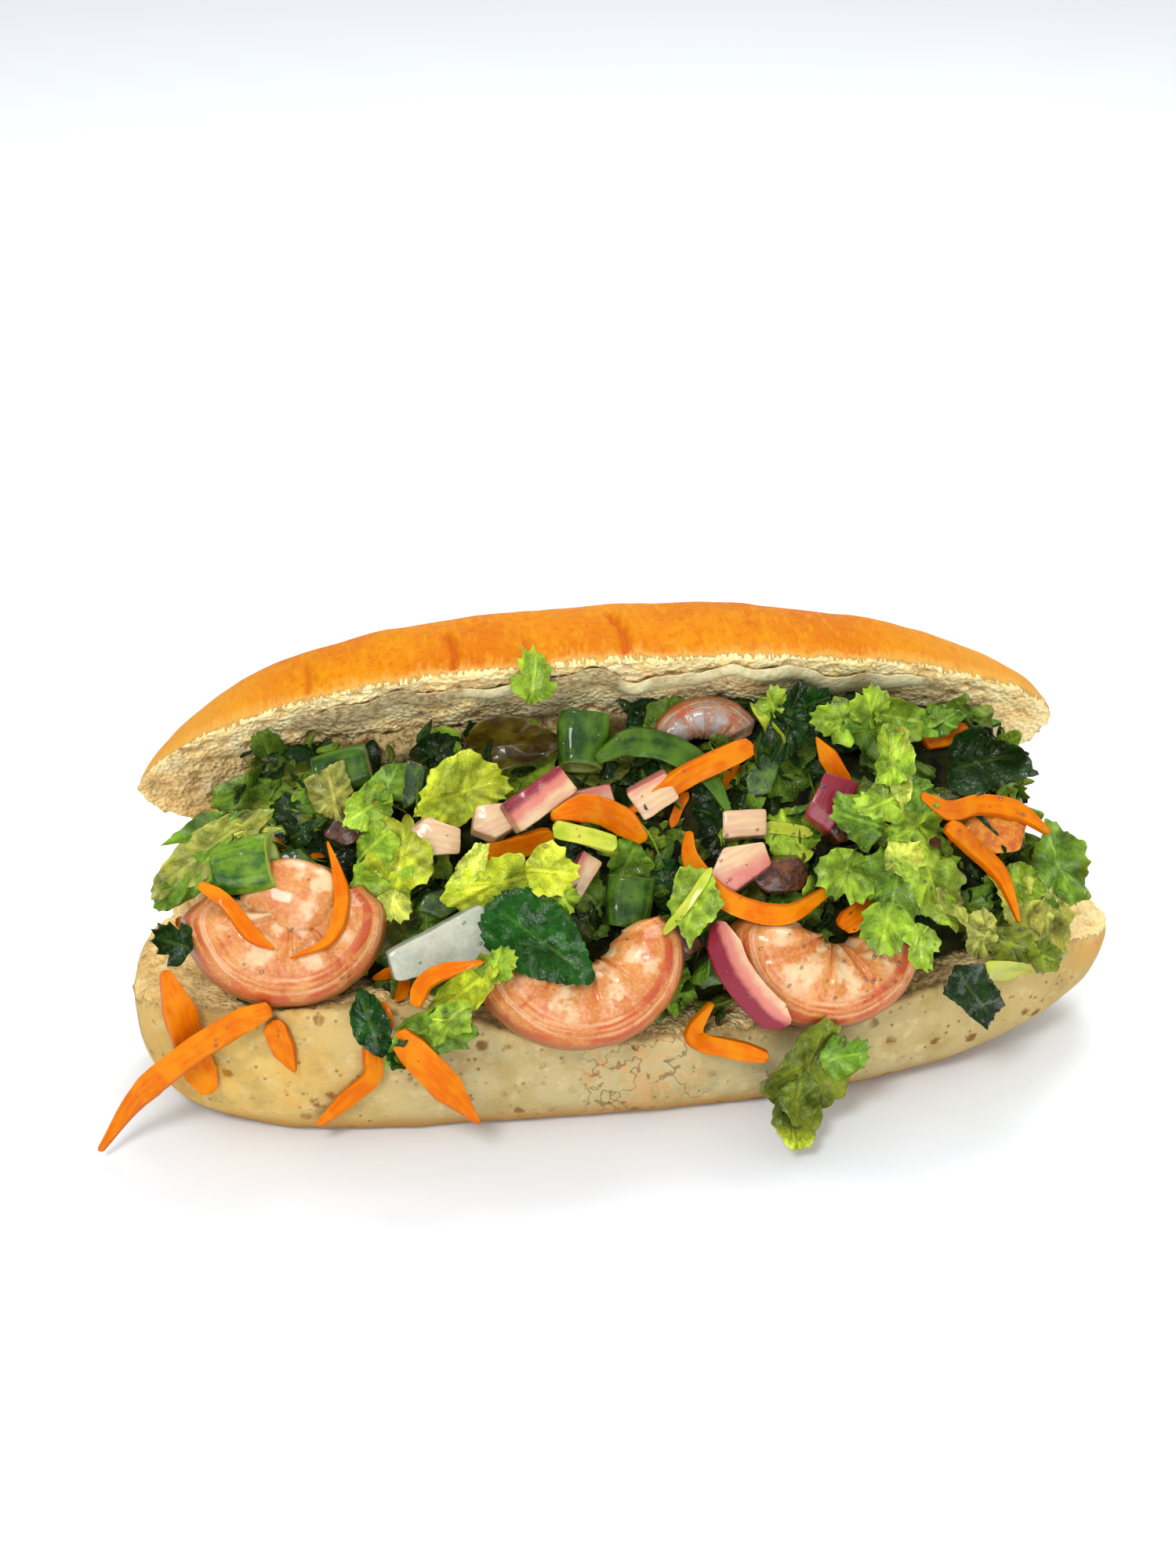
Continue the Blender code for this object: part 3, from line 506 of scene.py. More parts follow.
def ball(centre, size, rings=24, count=40, lump=0.0):
    """Closed rounded lump."""
    rows = []
    for r in range(1, rings):
        a = math.pi * r / rings
        row = []
        for i in range(count):
            b = 2.0 * math.pi * i / count
            k = 1.0 + lump * math.sin(3.0 * a + 2.3 * b + centre[0])
            row.append((centre[0] - size[0] * math.cos(a) * k,
                        centre[1] + size[1] * math.sin(a) * math.cos(b) * k,
                        centre[2] + size[2] * math.sin(a) * math.sin(b) * k))
        rows.append(row)
    return rows, [(centre[0] + way * size[0], centre[1], centre[2]) for way in (-1, 1)]


def bread_stations(ends):
    """Places along a half, closer together near its ends."""
    mid = (ends[0] + ends[1]) / 2.0
    half = (ends[1] - ends[0]) / 2.0
    turns = [math.pi * (i + 0.5) / BREAD_STATIONS for i in range(BREAD_STATIONS)]
    return [mid - half * math.cos(t) for t in turns]


def wrinkles(local, away, half):
    """Grooves across the upper crust and a crack low on the lower one."""
    push = np.zeros(len(local))
    upper = smooth((half - 0.7) / 0.2)
    for at, lean, reach, deep in UP_WRINKLES:
        off = local[:, 0] - at - lean * np.sin(away * 0.22)
        groove = np.exp(-(off / 1.0) ** 2) - 0.55 * np.exp(-((off - 2.2) / 1.5) ** 2)
        push -= deep * groove * upper * smooth((away - 1.0) / 3.0) * smooth((reach - away) / 5.0)
    low = local - np.array(LOW_CRACK[0])
    span = np.exp(-(low[:, 0] / LOW_CRACK[1]) ** 2) * smooth((-local[:, 1] - 10.0) / 8.0)
    line = low[:, 2] - 2.2 * np.sin(0.9 * local[:, 0]) - 0.6 * low[:, 0]
    push -= LOW_CRACK[2] * span * np.exp(-(line / 1.1) ** 2) * (1.0 - smooth(half / 0.3))
    return push


def build_bread():
    """Both halves, their joining strip and the torn crumb at the left end, as one piece."""
    body = Body()
    marks = []
    for ends, section, tips, half in (
            (LOW_ENDS, lower_ring, [(LOW_ENDS[i], 0.0, LOW_TIP_Z[i]) for i in (0, 1)], 0.0),
            (UP_ENDS, upper_ring,
             [upper_point(UP_ENDS[i], UP_TIP_ALONG[i], UP_TIP_DEEP) for i in (0, 1)], 1.0)):
        rows = [section(x) for x in bread_stations(ends)]
        body.add(ring_points(rows, tips) + SHIFT, loft_faces(len(rows), len(rows[0])))
        for row in rows[::2]:
            away = edge_distance(row, DOME_STEPS)
            for k in range(0, len(row), 2):
                marks.append((np.array(row[k]) + SHIFT, away[k], half))
    rows = [web_ring(x) for x in np.linspace(WEB_ENDS[0], WEB_ENDS[1], WEB_STATIONS)]
    web_tips = [np.mean(rows[0], axis=0) - np.array([WEB_TIP, 0.0, 0.0]),
                np.mean(rows[-1], axis=0) + np.array([WEB_TIP, 0.0, 0.0])]
    body.add(ring_points(rows, web_tips) + SHIFT, loft_faces(len(rows), len(rows[0])))
    for row in rows[::2]:
        middle = np.mean(row, axis=0)
        for p in row:
            marks.append((np.array(p) + SHIFT, WEB_AWAY * np.sign(p[1] - middle[1]), WEB_HALF))
    rows, tips = ball(TEAR_AT, TEAR_SIZE, lump=0.08)
    body.add(ring_points(rows, tips) + SHIFT, loft_faces(len(rows), len(rows[0])))
    for row in rows:
        for p in row:
            marks.append((np.array(p) + SHIFT, *TEAR_MARK))
    obj = remeshed(body.build("bread_piece"), BREAD_VOXEL)
    mesh = obj.data

    tree = KDTree(len(marks))
    for i, mark in enumerate(marks):
        tree.insert(Vector(mark[0]), i)
    tree.balance()
    points = mesh_points(mesh)
    pair = np.array([marks[tree.find(Vector(p))[1]][1:] for p in points])
    edges, count = edge_table(mesh)
    away, half = evened(pair, edges, count, MARK_ROUNDS).T

    # The fold at the back is eased into the crust of both halves
    local = points - SHIFT
    fold = smooth((local[:, 1] - 18.0) / 10.0) * smooth((16.0 - abs(local[:, 2] - 38.0)) / 10.0)
    for _ in range(FOLD_ROUNDS):
        mean = neighbours_mean(points, edges, count)
        points = points + 0.7 * fold[:, None] * (mean - points)
    points = evened(points, edges, count, SKIN_ROUNDS)
    put_points(mesh, points)

    normals = mesh_normals(mesh)
    crumb = smooth((0.6 - away) / 1.6)
    lumps = fractal(points, 26.0, 3, 1.0) * 0.6 + fractal(points, 7.0, 2, 4.0) * 0.18
    groove = (1.0 - crumb) * wrinkles(points - SHIFT, away, half)
    push = (1.0 - crumb) * lumps + groove
    pores = np.zeros(len(points))
    soft = np.nonzero(crumb > 0.05)[0]
    for size, deep in PORES:
        near = nearest_cell(points[soft], size, int(size * 10.0))
        pores[soft] += deep * smooth((0.46 - near) / 0.34)
    ragged = fractal(points, 5.0, 4, 9.0)
    push -= crumb * (pores * smooth((-away - 0.2) / 1.2) + 0.32 * ragged)
    rim = np.exp(-((away - 0.2) / 1.1) ** 2)
    push += rim * 0.5 * fractal(points, 2.4, 3, 2.0)
    inside = points[:, 2] < 1.5
    push = np.where(inside, np.minimum(push, 0.0) * 0.3, push)
    points = points + normals * push[:, None]
    points[:, 2] = np.maximum(points[:, 2], 0.0)
    put_points(mesh, points)
    set_values(mesh, "edge", away)
    set_values(mesh, "half", half)
    set_values(mesh, "pore", pores)
    # fold marks how deep the grooves and the low crack are; the crust colour is darkened along it
    # as painted shade.
    set_values(mesh, "fold", smooth(-groove / 0.8))
    return obj


# Materials


class Value:
    """Output of a node, which can be reckoned with like a number."""

    def __init__(self, graph, socket):
        self.graph = graph
        self.socket = socket

    def __add__(self, other):
        return self.graph.math("ADD", self, other)

    def __sub__(self, other):
        return self.graph.math("SUBTRACT", self, other)

    def __rsub__(self, other):
        return self.graph.math("SUBTRACT", other, self)

    def __mul__(self, other):
        return self.graph.math("MULTIPLY", self, other)

    def __truediv__(self, other):
        return self.graph.math("DIVIDE", self, other)

    def __abs__(self):
        return self.graph.math("ABSOLUTE", self)


class Graph:
    """Short way to write a material's nodes."""

    def __init__(self, name):
        self.material = bpy.data.materials.new(name)
        self.material.use_nodes = True
        self.tree = self.material.node_tree
        self.shader = self.tree.nodes["Principled BSDF"]
        self.place = None

    def set(self, **values):
        """Set the shader's own sockets, or link them where a value comes from a node."""
        self.fill(self.shader, **values)

    def fill(self, node, **values):
        """Set or link inputs of a node by their names."""
        for key, value in values.items():
            self.plug(node.inputs[key.replace("_", " ")], value)

    def plug(self, socket, value):
        if isinstance(value, Value):
            self.tree.links.new(value.socket, socket)
        elif value is not None:
            socket.default_value = value

    def made(self, kind, output, *values, **settings):
        """Make a node, set its first inputs in order and give back one output."""
        node = self.tree.nodes.new("ShaderNode" + kind)
        for key, value in settings.items():
            setattr(node, key, value)
        for socket, value in zip(node.inputs, values):
            self.plug(socket, value)
        return Value(self, node.outputs[output])

    def mm(self):
        """Place on the object in millimetres."""
        if self.place is None:
            coords = self.made("TexCoord", "Object")
            self.place = self.made("VectorMath", 0, coords, operation="SCALE")
            self.place.socket.node.inputs["Scale"].default_value = 1.0 / MM
        return self.place

    def value(self, name, output="Fac"):
        """A named value stored at the vertices."""
        return self.made("Attribute", output, attribute_name=name)

    def parts(self, vector):
        node = self.made("SeparateXYZ", 0, vector).socket.node
        return [Value(self, socket) for socket in node.outputs]

    def joined(self, x, y, z):
        return self.made("CombineXYZ", 0, x, y, z)

    def math(self, kind, a, b=None):
        return self.made("Math", 0, a, b, operation=kind)

    def most(self, a, b):
        return self.math("MAXIMUM", a, b)

    def fract(self, a):
        return self.math("FRACT", a)

    def noise(self, size, detail=3.0, rough=0.55, vector=None):
        """Noise from 0 to 1; size is its grain in millimetres."""
        out = self.made("TexNoise", "Fac", vector or self.mm())
        self.fill(out.socket.node, Scale=1.0 / size, Detail=detail, Roughness=rough)
        return out

    def cells(self, size, feature="F1"):
        """Distance to scattered points; size is their spacing in millimetres."""
        out = self.made("TexVoronoi", "Distance", self.mm(), feature=feature)
        self.fill(out.socket.node, Scale=1.0 / size)
        return out

    def step(self, value, low, high):
        """Ease from 0 to 1 as value goes from low to high."""
        flip = float(low > high)
        return self.made("MapRange", 0, value, min(low, high), max(low, high), flip, 1.0 - flip,
                         interpolation_type="SMOOTHSTEP")

    def mix(self, share, a, b, kind="MIX"):
        """Colour a, and as much of colour b over it as share says."""
        out = self.made("Mix", 2, share, data_type="RGBA", blend_type=kind)
        self.plug(out.socket.node.inputs[6], a)
        self.plug(out.socket.node.inputs[7], b)
        return out

    def bump(self, height, depth, normal=None):
        """Bump whose height from 0 to 1 is depth millimetres."""
        out = self.made("Bump", 0)
        self.fill(out.socket.node, Strength=1.0, Distance=depth * MM, Height=height, Normal=normal)
        return out


def bread_material():
    """Golden crust above, pale speckled crust below and open beige crumb between."""
    g = Graph("bread")
    away = g.value("edge")
    half = g.value("half")
    pore = g.value("pore")
    place = g.parts(g.mm())
    torn = g.joined(place[0] * 1.6, place[1] * 0.45, place[2] * 0.45)
    fibres = g.noise(1.3, 4.0, 0.65, torn)
    ragged = away + (fibres - 0.5) * 8.0
    ragged = ragged + (g.noise(9.0) - 0.5) * 2.5
    low = g.step(half, 0.25, 0.05)
    over_lip = low * g.step(place[1], 0.0, -18.0)
    ragged = ragged + over_lip * 3.2
    crust = g.step(ragged, -0.2, 0.9)
    fold = g.value("fold")

    broad = g.noise(20.0, 3.0)
    fine = g.noise(1.9, 5.0, 0.62)
    streak = g.noise(1.4, 4.0, 0.6, g.joined(place[0], place[1] * 0.3, place[2] * 0.3))
    gold = g.mix(g.step(broad, 0.36, 0.64), srgb(226, 126, 0), srgb(236, 148, 0))
    gold = g.mix(g.step(fine, 0.46, 0.74) * 0.6, gold, srgb(208, 96, 0))
    gold = g.mix(g.step(streak, 0.5, 0.7) * 0.5, gold, srgb(244, 170, 24))
    gold = g.mix(g.step(ragged, 5.0, 0.5) * 0.8, gold, srgb(246, 188, 92))
    # Painted shade: the crust is darker orange along its grooves.
    gold = g.mix(fold * 0.75, gold, srgb(206, 84, 4))
    ends = g.most(g.step(place[0], 60.0, 104.0), g.step(place[0], -62.0, -104.0))
    gold = g.mix(ends * 0.5, gold, srgb(250, 190, 84))

    pale = g.mix(g.step(place[0], -95.0, -30.0), srgb(236, 198, 112), srgb(208, 190, 138))
    pale = g.mix(g.step(place[0], 40.0, 112.0), pale, srgb(218, 186, 116))
    pale = g.mix(g.step(g.noise(9.0, 4.0), 0.42, 0.7) * 0.7, pale, srgb(186, 160, 94))
    pale = g.mix(g.step(g.noise(4.0, 5.0, 0.65), 0.52, 0.72) * 0.5, pale, srgb(244, 226, 174))
    warm = g.mix(g.step(place[2], 9.0, 1.5), pale, srgb(202, 148, 70))
    chance = g.step(g.noise(15.0, 2.0), 0.42, 0.56)
    spots = g.cells(6.0) + g.noise(1.4) * 0.3
    spot = g.step(spots, 0.44, 0.3) * chance
    small = g.step(g.cells(2.4), 0.26, 0.12) * g.step(g.noise(8.0), 0.46, 0.58)
    spot = g.most(spot, small * 0.8)
    warm = g.mix(spot * 0.85, warm, srgb(130, 80, 22))
    golden = g.step(place[0], 98.0, 116.0) * g.step(place[2], 17.0, 25.0)
    left = g.step(place[0], -50.0, -85.0) * g.step(g.noise(12.0, 3.0), 0.48, 0.6)
    golden = g.most(golden, left * 0.45)
    warm = g.mix(golden * 0.75, warm, srgb(238, 168, 52))
    bruise = g.step(place[0], -14.0, -8.0) * g.step(place[0], 18.0, 13.0)
    bruise = bruise * g.step(place[1], 0.0, -6.0)
    drift = abs(g.noise(11.0, 3.0, 0.6) - 0.5)
    crack = bruise * g.step(drift, 0.014, 0.004)
    bruise = bruise * g.step(g.noise(3.4, 4.0, 0.65), 0.5, 0.6)
    warm = g.mix(bruise * 0.7, warm, srgb(224, 176, 118))
    # Painted shade: a thin dark brown line along the crack.
    warm = g.mix(crack * 0.6, warm, srgb(112, 72, 34))
    back = g.step(place[1], 14.0, 40.0)
    warm = g.mix(back * g.step(place[2], 8.0, 26.0), warm, gold)
    warm = g.mix(g.step(ragged, 4.0, 0.6), warm, srgb(232, 194, 124))
    shell = g.mix(g.step(half, 0.3, 0.6), warm, gold)

    meal = g.noise(0.9, 4.0, 0.7)
    crumb = g.mix(g.step(g.noise(7.0, 3.0), 0.35, 0.68), srgb(250, 218, 158), srgb(255, 244, 196))
    crumb = g.mix(g.step(g.noise(10.0, 2.0), 0.46, 0.62) * 0.7, crumb, srgb(244, 238, 204))
    crumb = g.mix(low * 0.65, crumb, srgb(246, 216, 154))
    crumb = g.mix(g.step(meal, 0.52, 0.34) * 0.4, crumb, srgb(222, 178, 108))
    crumb = g.mix(g.step(fibres, 0.5, 0.36) * 0.3, crumb, srgb(220, 180, 112))
    # Painted shade: the crumb is darker where its pores are deep.
    crumb = g.mix(g.step(pore, 0.3, 1.2) * 0.7, crumb, srgb(206, 162, 98))
    crumb = g.mix(g.step(ragged, -6.0, 0.0) * 0.4, crumb, srgb(250, 220, 152))
    soaked = g.step(place[0], -50.0, -92.0) * g.step(place[2], 80.0, 66.0)
    soaked = soaked * g.step(g.noise(7.0, 3.0), 0.34, 0.56)
    crumb = g.mix(soaked * 0.7, crumb, srgb(206, 164, 98))
    crumb = g.mix(1.0, crumb, (1.44, 1.42, 1.31, 1.0), "MULTIPLY")
    colour = g.mix(crust, crumb, shell)

    open_crumb = g.cells(1.2) * (1.0 - crust)
    skin = fine * 0.4 + g.noise(5.0, 3.0) * 0.6
    normal = g.bump(skin, 0.34)
    normal = g.bump(streak * g.step(half, 0.3, 0.6), 0.12, normal)
    normal = g.bump(open_crumb + meal * 0.5, 0.7, normal)
    rough = 0.88 - crust * 0.34
    g.set(Base_Color=colour, Roughness=rough, Normal=normal)
    g.set(Specular_IOR_Level=0.06, Subsurface_Weight=0.03, Subsurface_Scale=0.002)
    return g.material


def mayonnaise_material():
    """Cream smear, thin enough in places for the crumb to show through."""
    g = Graph("mayonnaise")
    colour = g.mix(g.step(g.noise(5.0, 3.0), 0.35, 0.7), srgb(252, 242, 196), srgb(244, 230, 170))
    colour = g.mix(g.step(g.noise(6.0, 4.0, 0.65), 0.5, 0.62) * 0.8, colour, srgb(226, 208, 154))
    colour = g.mix(g.step(g.noise(1.1, 3.0), 0.6, 0.72) * 0.35, colour, srgb(166, 160, 84))
    soaked = g.value("thick") + g.noise(3.0, 4.0, 0.6) * 0.5
    crumb = g.mix(g.step(g.noise(1.4, 4.0, 0.7), 0.4, 0.6), srgb(188, 158, 104),
                  srgb(244, 224, 172))
    colour = g.mix(g.step(soaked, 0.72, 0.5), colour, crumb)
    g.set(Base_Color=colour, Roughness=0.4, Normal=g.bump(g.noise(1.6, 4.0, 0.6), 0.6))
    g.set(Coat_Weight=0.2, Coat_Roughness=0.12, Specular_IOR_Level=0.2)
    g.set(Subsurface_Weight=0.12, Subsurface_Scale=0.002)
    return g.material


def shrimp_material(name, light, lighter, white_colour):
    """Peach flesh with white patches, orange seams between its joints, red lines on its back and
    painted shade low on its outer side.
    """
    g = Graph(name)
    along, outer, face = g.parts(g.value("shape", "Vector"))
    wander = (g.noise(5.0, 3.0) - 0.5) * 0.16
    place = (along + wander) * 4.0 + 0.25
    cell = abs(g.fract(place) - 0.5)
    colour = g.mix(g.step(g.noise(6.0, 3.0), 0.34, 0.66), light, lighter)
    speck = g.noise(0.7, 2.0, 0.6)
    colour = g.mix(g.step(speck, 0.42, 0.7) * 0.35, colour, srgb(246, 190, 134))
    white = g.step(cell, 0.42, 0.12) * g.step(g.noise(4.2, 3.0), 0.4, 0.58)
    white = white * g.step(outer, 0.6, 0.0)
    colour = g.mix(white * 0.9, colour, white_colour)
    seam = g.step(cell, 0.43, 0.5) * g.step(g.noise(3.0, 3.0), 0.42, 0.62)
    colour = g.mix(seam * 0.8, colour, srgb(206, 88, 34))
    fibre = g.joined(along * 5.0, outer * 20.0, face)
    lines = g.noise(1.0 / 0.35, 4.0, 0.5, fibre)
    red = g.step(lines, 0.5, 0.58) * g.step(outer, 0.15, 0.45)
    red = red * g.step(g.noise(7.0, 2.0), 0.34, 0.56)
    colour = g.mix(red * 0.8, colour, srgb(200, 66, 32))
    pale = g.step(lines, 0.48, 0.4) * g.step(outer, 0.2, 0.5)
    colour = g.mix(pale * 0.6, colour, srgb(250, 204, 164))
    blush = g.step(g.noise(4.5, 4.0, 0.62), 0.56, 0.68) * 0.6
    colour = g.mix(blush, colour, srgb(212, 92, 44))
    # Painted shade: brown on the lower part of the outer back, where shade falls.
    under = g.step(outer, 0.66, 0.92) * g.step(face, 0.72, 0.35)
    colour = g.mix(under * 0.85, colour, srgb(172, 84, 20))
    normal = g.bump(g.noise(0.9, 3.0), 0.12)
    normal = g.bump(g.noise(3.2, 3.0), 0.45, normal)
    g.set(Base_Color=colour, Roughness=0.42, Normal=normal)
    g.set(Coat_Weight=0.3, Coat_Roughness=0.08, Specular_IOR_Level=0.3)
    g.set(Subsurface_Weight=0.12, Subsurface_Scale=0.003)
    return g.material


def carrot_material():
    """Raw carrot: fine fibres along each strip, paler patches, dark dots and painted shade on the
    lower side of each strip.
    """
    g = Graph("carrot")
    shape = g.parts(g.value("shape", "Vector"))
    fibre = g.joined(shape[0] * 0.18, shape[1], shape[2])
    grain = g.noise(0.9, 4.0, 0.6, fibre)
    colour = g.mix(g.step(grain, 0.36, 0.66), srgb(228, 108, 0), srgb(238, 130, 0))
    tone = g.noise(8.0, 2.0)
    colour = g.mix(g.step(tone, 0.44, 0.64) * 0.7, colour, srgb(242, 148, 8))
    # Painted shade: the lower side of each strip's section is darker orange.
    face = g.step(shape[2], 0.9, 0.3)
    colour = g.mix(face * 0.45, colour, srgb(222, 96, 0))
    dots = g.step(g.cells(2.4), 0.14, 0.06) * g.step(g.noise(6.0), 0.52, 0.62)
    colour = g.mix(dots * 0.5, colour, srgb(150, 54, 0))
    normal = g.bump(grain, 0.25)
    normal = g.bump(g.noise(1.0, 3.0), 0.1, normal)
    g.set(Base_Color=colour, Roughness=0.48, Normal=normal)
    g.set(Coat_Weight=0.12, Coat_Roughness=0.06, Specular_IOR_Level=0.05)
    g.set(Subsurface_Weight=0.12, Subsurface_Radius=(1.0, 0.3, 0.05), Subsurface_Scale=0.0015)
    return g.material


def leaf_material():
    """Herb and lettuce leaves: veins, uneven green, and wet bright spots."""
    g = Graph("leaf")
    tint = g.value("tint", "Color")
    along, across, share = g.parts(g.value("leaf", "Vector"))
    side = abs(across)
    bent = along - side * 0.9
    bent = bent + g.noise(4.0, 2.0) * 2.6
    ray = abs(g.fract(bent / PLEAT) - 0.5)
    veins = g.step(ray, 0.43, 0.49) * g.step(share, 0.98, 0.6)
    middle = g.step(side, 0.6, 0.2) * g.step(share, 0.9, 0.5)
    net = g.step(g.cells(1.4, "DISTANCE_TO_EDGE"), 0.12, 0.02)
    vein = g.most(g.most(middle, veins * 0.65), net * 0.3)
    uneven = g.mix(g.step(g.noise(4.0, 5.0, 0.62), 0.34, 0.66), (0.5, 0.58, 0.5, 1.0),
                   (1.35, 1.28, 1.1, 1.0))
    colour = g.mix(1.0, tint, uneven, "MULTIPLY")
    light = g.mix(1.0, tint, (1.5, 1.35, 1.0, 1.0), "MULTIPLY")
    colour = g.mix(g.step(g.noise(7.0, 3.0), 0.52, 0.68) * 0.6, colour, light)
    pale = g.mix(0.12, g.mix(1.0, tint, (2.0, 1.8, 1.6, 1.0), "MULTIPLY"), srgb(206, 218, 96))
    colour = g.mix(vein * 0.55, colour, pale)
    dark = g.step(g.noise(2.0, 4.0, 0.6), 0.58, 0.74) * 0.5
    colour = g.mix(dark, colour, g.mix(1.0, tint, (0.25, 0.35, 0.3, 1.0), "MULTIPLY"))
    normal = g.bump(g.noise(1.3, 4.0, 0.6), 0.55)
    normal = g.bump(vein, 0.2, normal)
    g.set(Base_Color=colour, Roughness=0.5, Normal=normal)
    g.set(Coat_Normal=g.bump(g.noise(1.1, 2.0, 0.6), 0.8))
    wet = g.step(g.noise(3.5, 3.0, 0.6), 0.5, 0.57) * 0.9
    g.set(Coat_Weight=wet + 0.06, Coat_Roughness=0.06, Specular_IOR_Level=0.08)
    g.set(Subsurface_Weight=0.08, Subsurface_Scale=0.0015)
    return g.material


def onion_material():
    """Cut onion: cream flesh turning pink and then purple at its skin edge."""
    g = Graph("onion")
    shape = g.parts(g.value("shape", "Vector"))
    skin = g.value("skin")
    tone = skin + (g.noise(3.0, 3.0) - 0.5) * 0.35
    fibre = g.joined(shape[0] * 0.15, shape[1], shape[2])
    lines = g.noise(1.3, 3.0, 0.5, fibre)
    cream = g.mix(g.step(lines, 0.35, 0.7), srgb(238, 206, 158), srgb(226, 176, 140))
    colour = g.mix(g.step(tone, 0.25, 0.6), cream, srgb(222, 132, 116))
    colour = g.mix(g.step(tone, 0.62, 0.92), colour, srgb(142, 20, 46))
    g.set(Base_Color=colour, Roughness=0.38, Normal=g.bump(lines, 0.2))
    g.set(Coat_Weight=0.3, Coat_Roughness=0.08, Specular_IOR_Level=0.3)
    g.set(Subsurface_Weight=0.12, Subsurface_Scale=0.003)
    return g.material


def stem_material(name, deep, light, stripe):
    """Cut stem or scallion: stripes along it and paler cut ends."""
    g = Graph(name)
    shape = g.parts(g.value("shape", "Vector"))
    fibre = g.joined(shape[0] * 0.1, shape[1], shape[2])
    lines = g.noise(stripe, 4.0, 0.55, fibre)
    mottled = g.noise(5.0, 3.0)
    both = lines * 0.45 + mottled * 0.55
    colour = g.mix(g.step(both, 0.38, 0.62), deep, light)
    pale = g.mix(0.5, light, srgb(214, 222, 120))
    colour = g.mix(g.value("skin"), colour, pale)
    normal = g.bump(lines, 0.25)
    normal = g.bump(g.noise(2.2, 2.0), 0.3, normal)
    g.set(Base_Color=colour, Roughness=0.36, Normal=normal)
    g.set(Coat_Weight=0.25, Coat_Roughness=0.05, Specular_IOR_Level=0.1)
    g.set(Subsurface_Weight=0.05, Subsurface_Scale=0.002)
    return g.material


def flesh_material(name, light, dark, size, rough=0.4, wet=0.3, depth=0.4):
    """Two-toned wet flesh with an uneven skin."""
    g = Graph(name)
    mottled = g.noise(size, 5.0, 0.6)
    colour = g.mix(g.step(mottled, 0.34, 0.68), dark, light)
    g.set(Base_Color=colour, Roughness=rough, Normal=g.bump(g.noise(size * 0.4, 4.0), depth))
    g.set(Coat_Weight=wet, Coat_Roughness=0.08, Specular_IOR_Level=0.25)
    g.set(Subsurface_Weight=0.08, Subsurface_Scale=0.002)
    return g.material


def core_material():
    """Near-black green and brown inside the filling, painted shade of the gaps between the pieces,
    with soaked crumb where it lies against the upper half.
    """
    g = Graph("core")
    place = g.parts(g.mm())
    # Painted shade: the core is near black so the gaps between the pieces look deep in shadow.
    mixed = g.mix(g.step(g.noise(4.0, 4.0), 0.36, 0.64), srgb(20, 16, 6), srgb(52, 56, 14))
    meal = g.noise(1.2, 4.0, 0.7)
    crumb = g.mix(g.step(meal, 0.36, 0.6), srgb(150, 116, 64), srgb(232, 206, 146))
    stained = g.step(g.noise(8.0, 3.0), 0.5, 0.6)
    crumb = g.mix(stained * 0.8, crumb, srgb(92, 58, 20))
    high = place[2] + g.noise(6.0, 3.0) * 8.0
    far = place[0] + g.noise(14.0, 2.0) * 16.0
    share = g.step(high, 76.0, 79.5) * g.step(far, 24.0, 4.0)
    colour = g.mix(share, mixed, crumb)
    g.set(Base_Color=colour, Roughness=0.75, Normal=g.bump(meal, 0.9), Specular_IOR_Level=0.15)
    return g.material


def water_material():
    """Clear drops of juice and dressing."""
    g = Graph("water")
    colour = g.mix(g.step(g.noise(6.0, 2.0), 0.4, 0.6), srgb(255, 255, 248), srgb(255, 250, 220))
    g.set(Base_Color=colour, Roughness=0.05, IOR=1.36, Transmission_Weight=1.0)
    g.set(Coat_Weight=1.0, Coat_Roughness=0.03)
    return g.material


# Pieces of the filling


def waviness(t, rng):
    """Uneven swelling of an outline, about -0.2 to 0.2."""
    out = np.zeros(len(t))
    for k in (2, 3, 4, 5):
        out += 0.12 / (k - 0.5) * rng.uniform(0.4, 1.0) * np.sin(k * t + rng.uniform(0.0, 6.28))
    return out


def pointed(t, base, tip, wide):
    """Radius of a leaf that is rounder at its base and more pointed at its tip."""
    s = np.linspace(0.0, math.pi, 400)
    u = np.cos(s)
    side = wide * (1.0 + u) ** base * (1.0 - u) ** tip
    turn = np.arctan2(side, u)
    return np.interp(np.abs(t), turn, np.hypot(u, side))


def teeth(t, count, phase):
    """Uneven pointed teeth of an outline, 0 in a notch and 1 at a point, twice count in all."""
    return 1.0 - np.abs(np.sin(count * t + phase + 0.9 * np.sin(2.0 * t + phase))) ** 0.65


def cornered(t, turns, reach):
    """Radius of a shape with straight sides between corners at these turns and reaches."""
    radius = np.zeros(len(t))
    for i, (a0, r0) in enumerate(zip(turns, reach)):
        a1, r1 = turns[(i + 1) % len(turns)], reach[(i + 1) % len(turns)]
        gap = (a1 - a0) % (2.0 * math.pi)
        off = (t - a0) % (2.0 * math.pi)
        chord = r0 * r1 * math.sin(gap) / (r0 * np.sin(off) + r1 * np.sin(gap - off) + 1e-9)
        radius = np.where(off <= gap, chord, radius)
    return radius


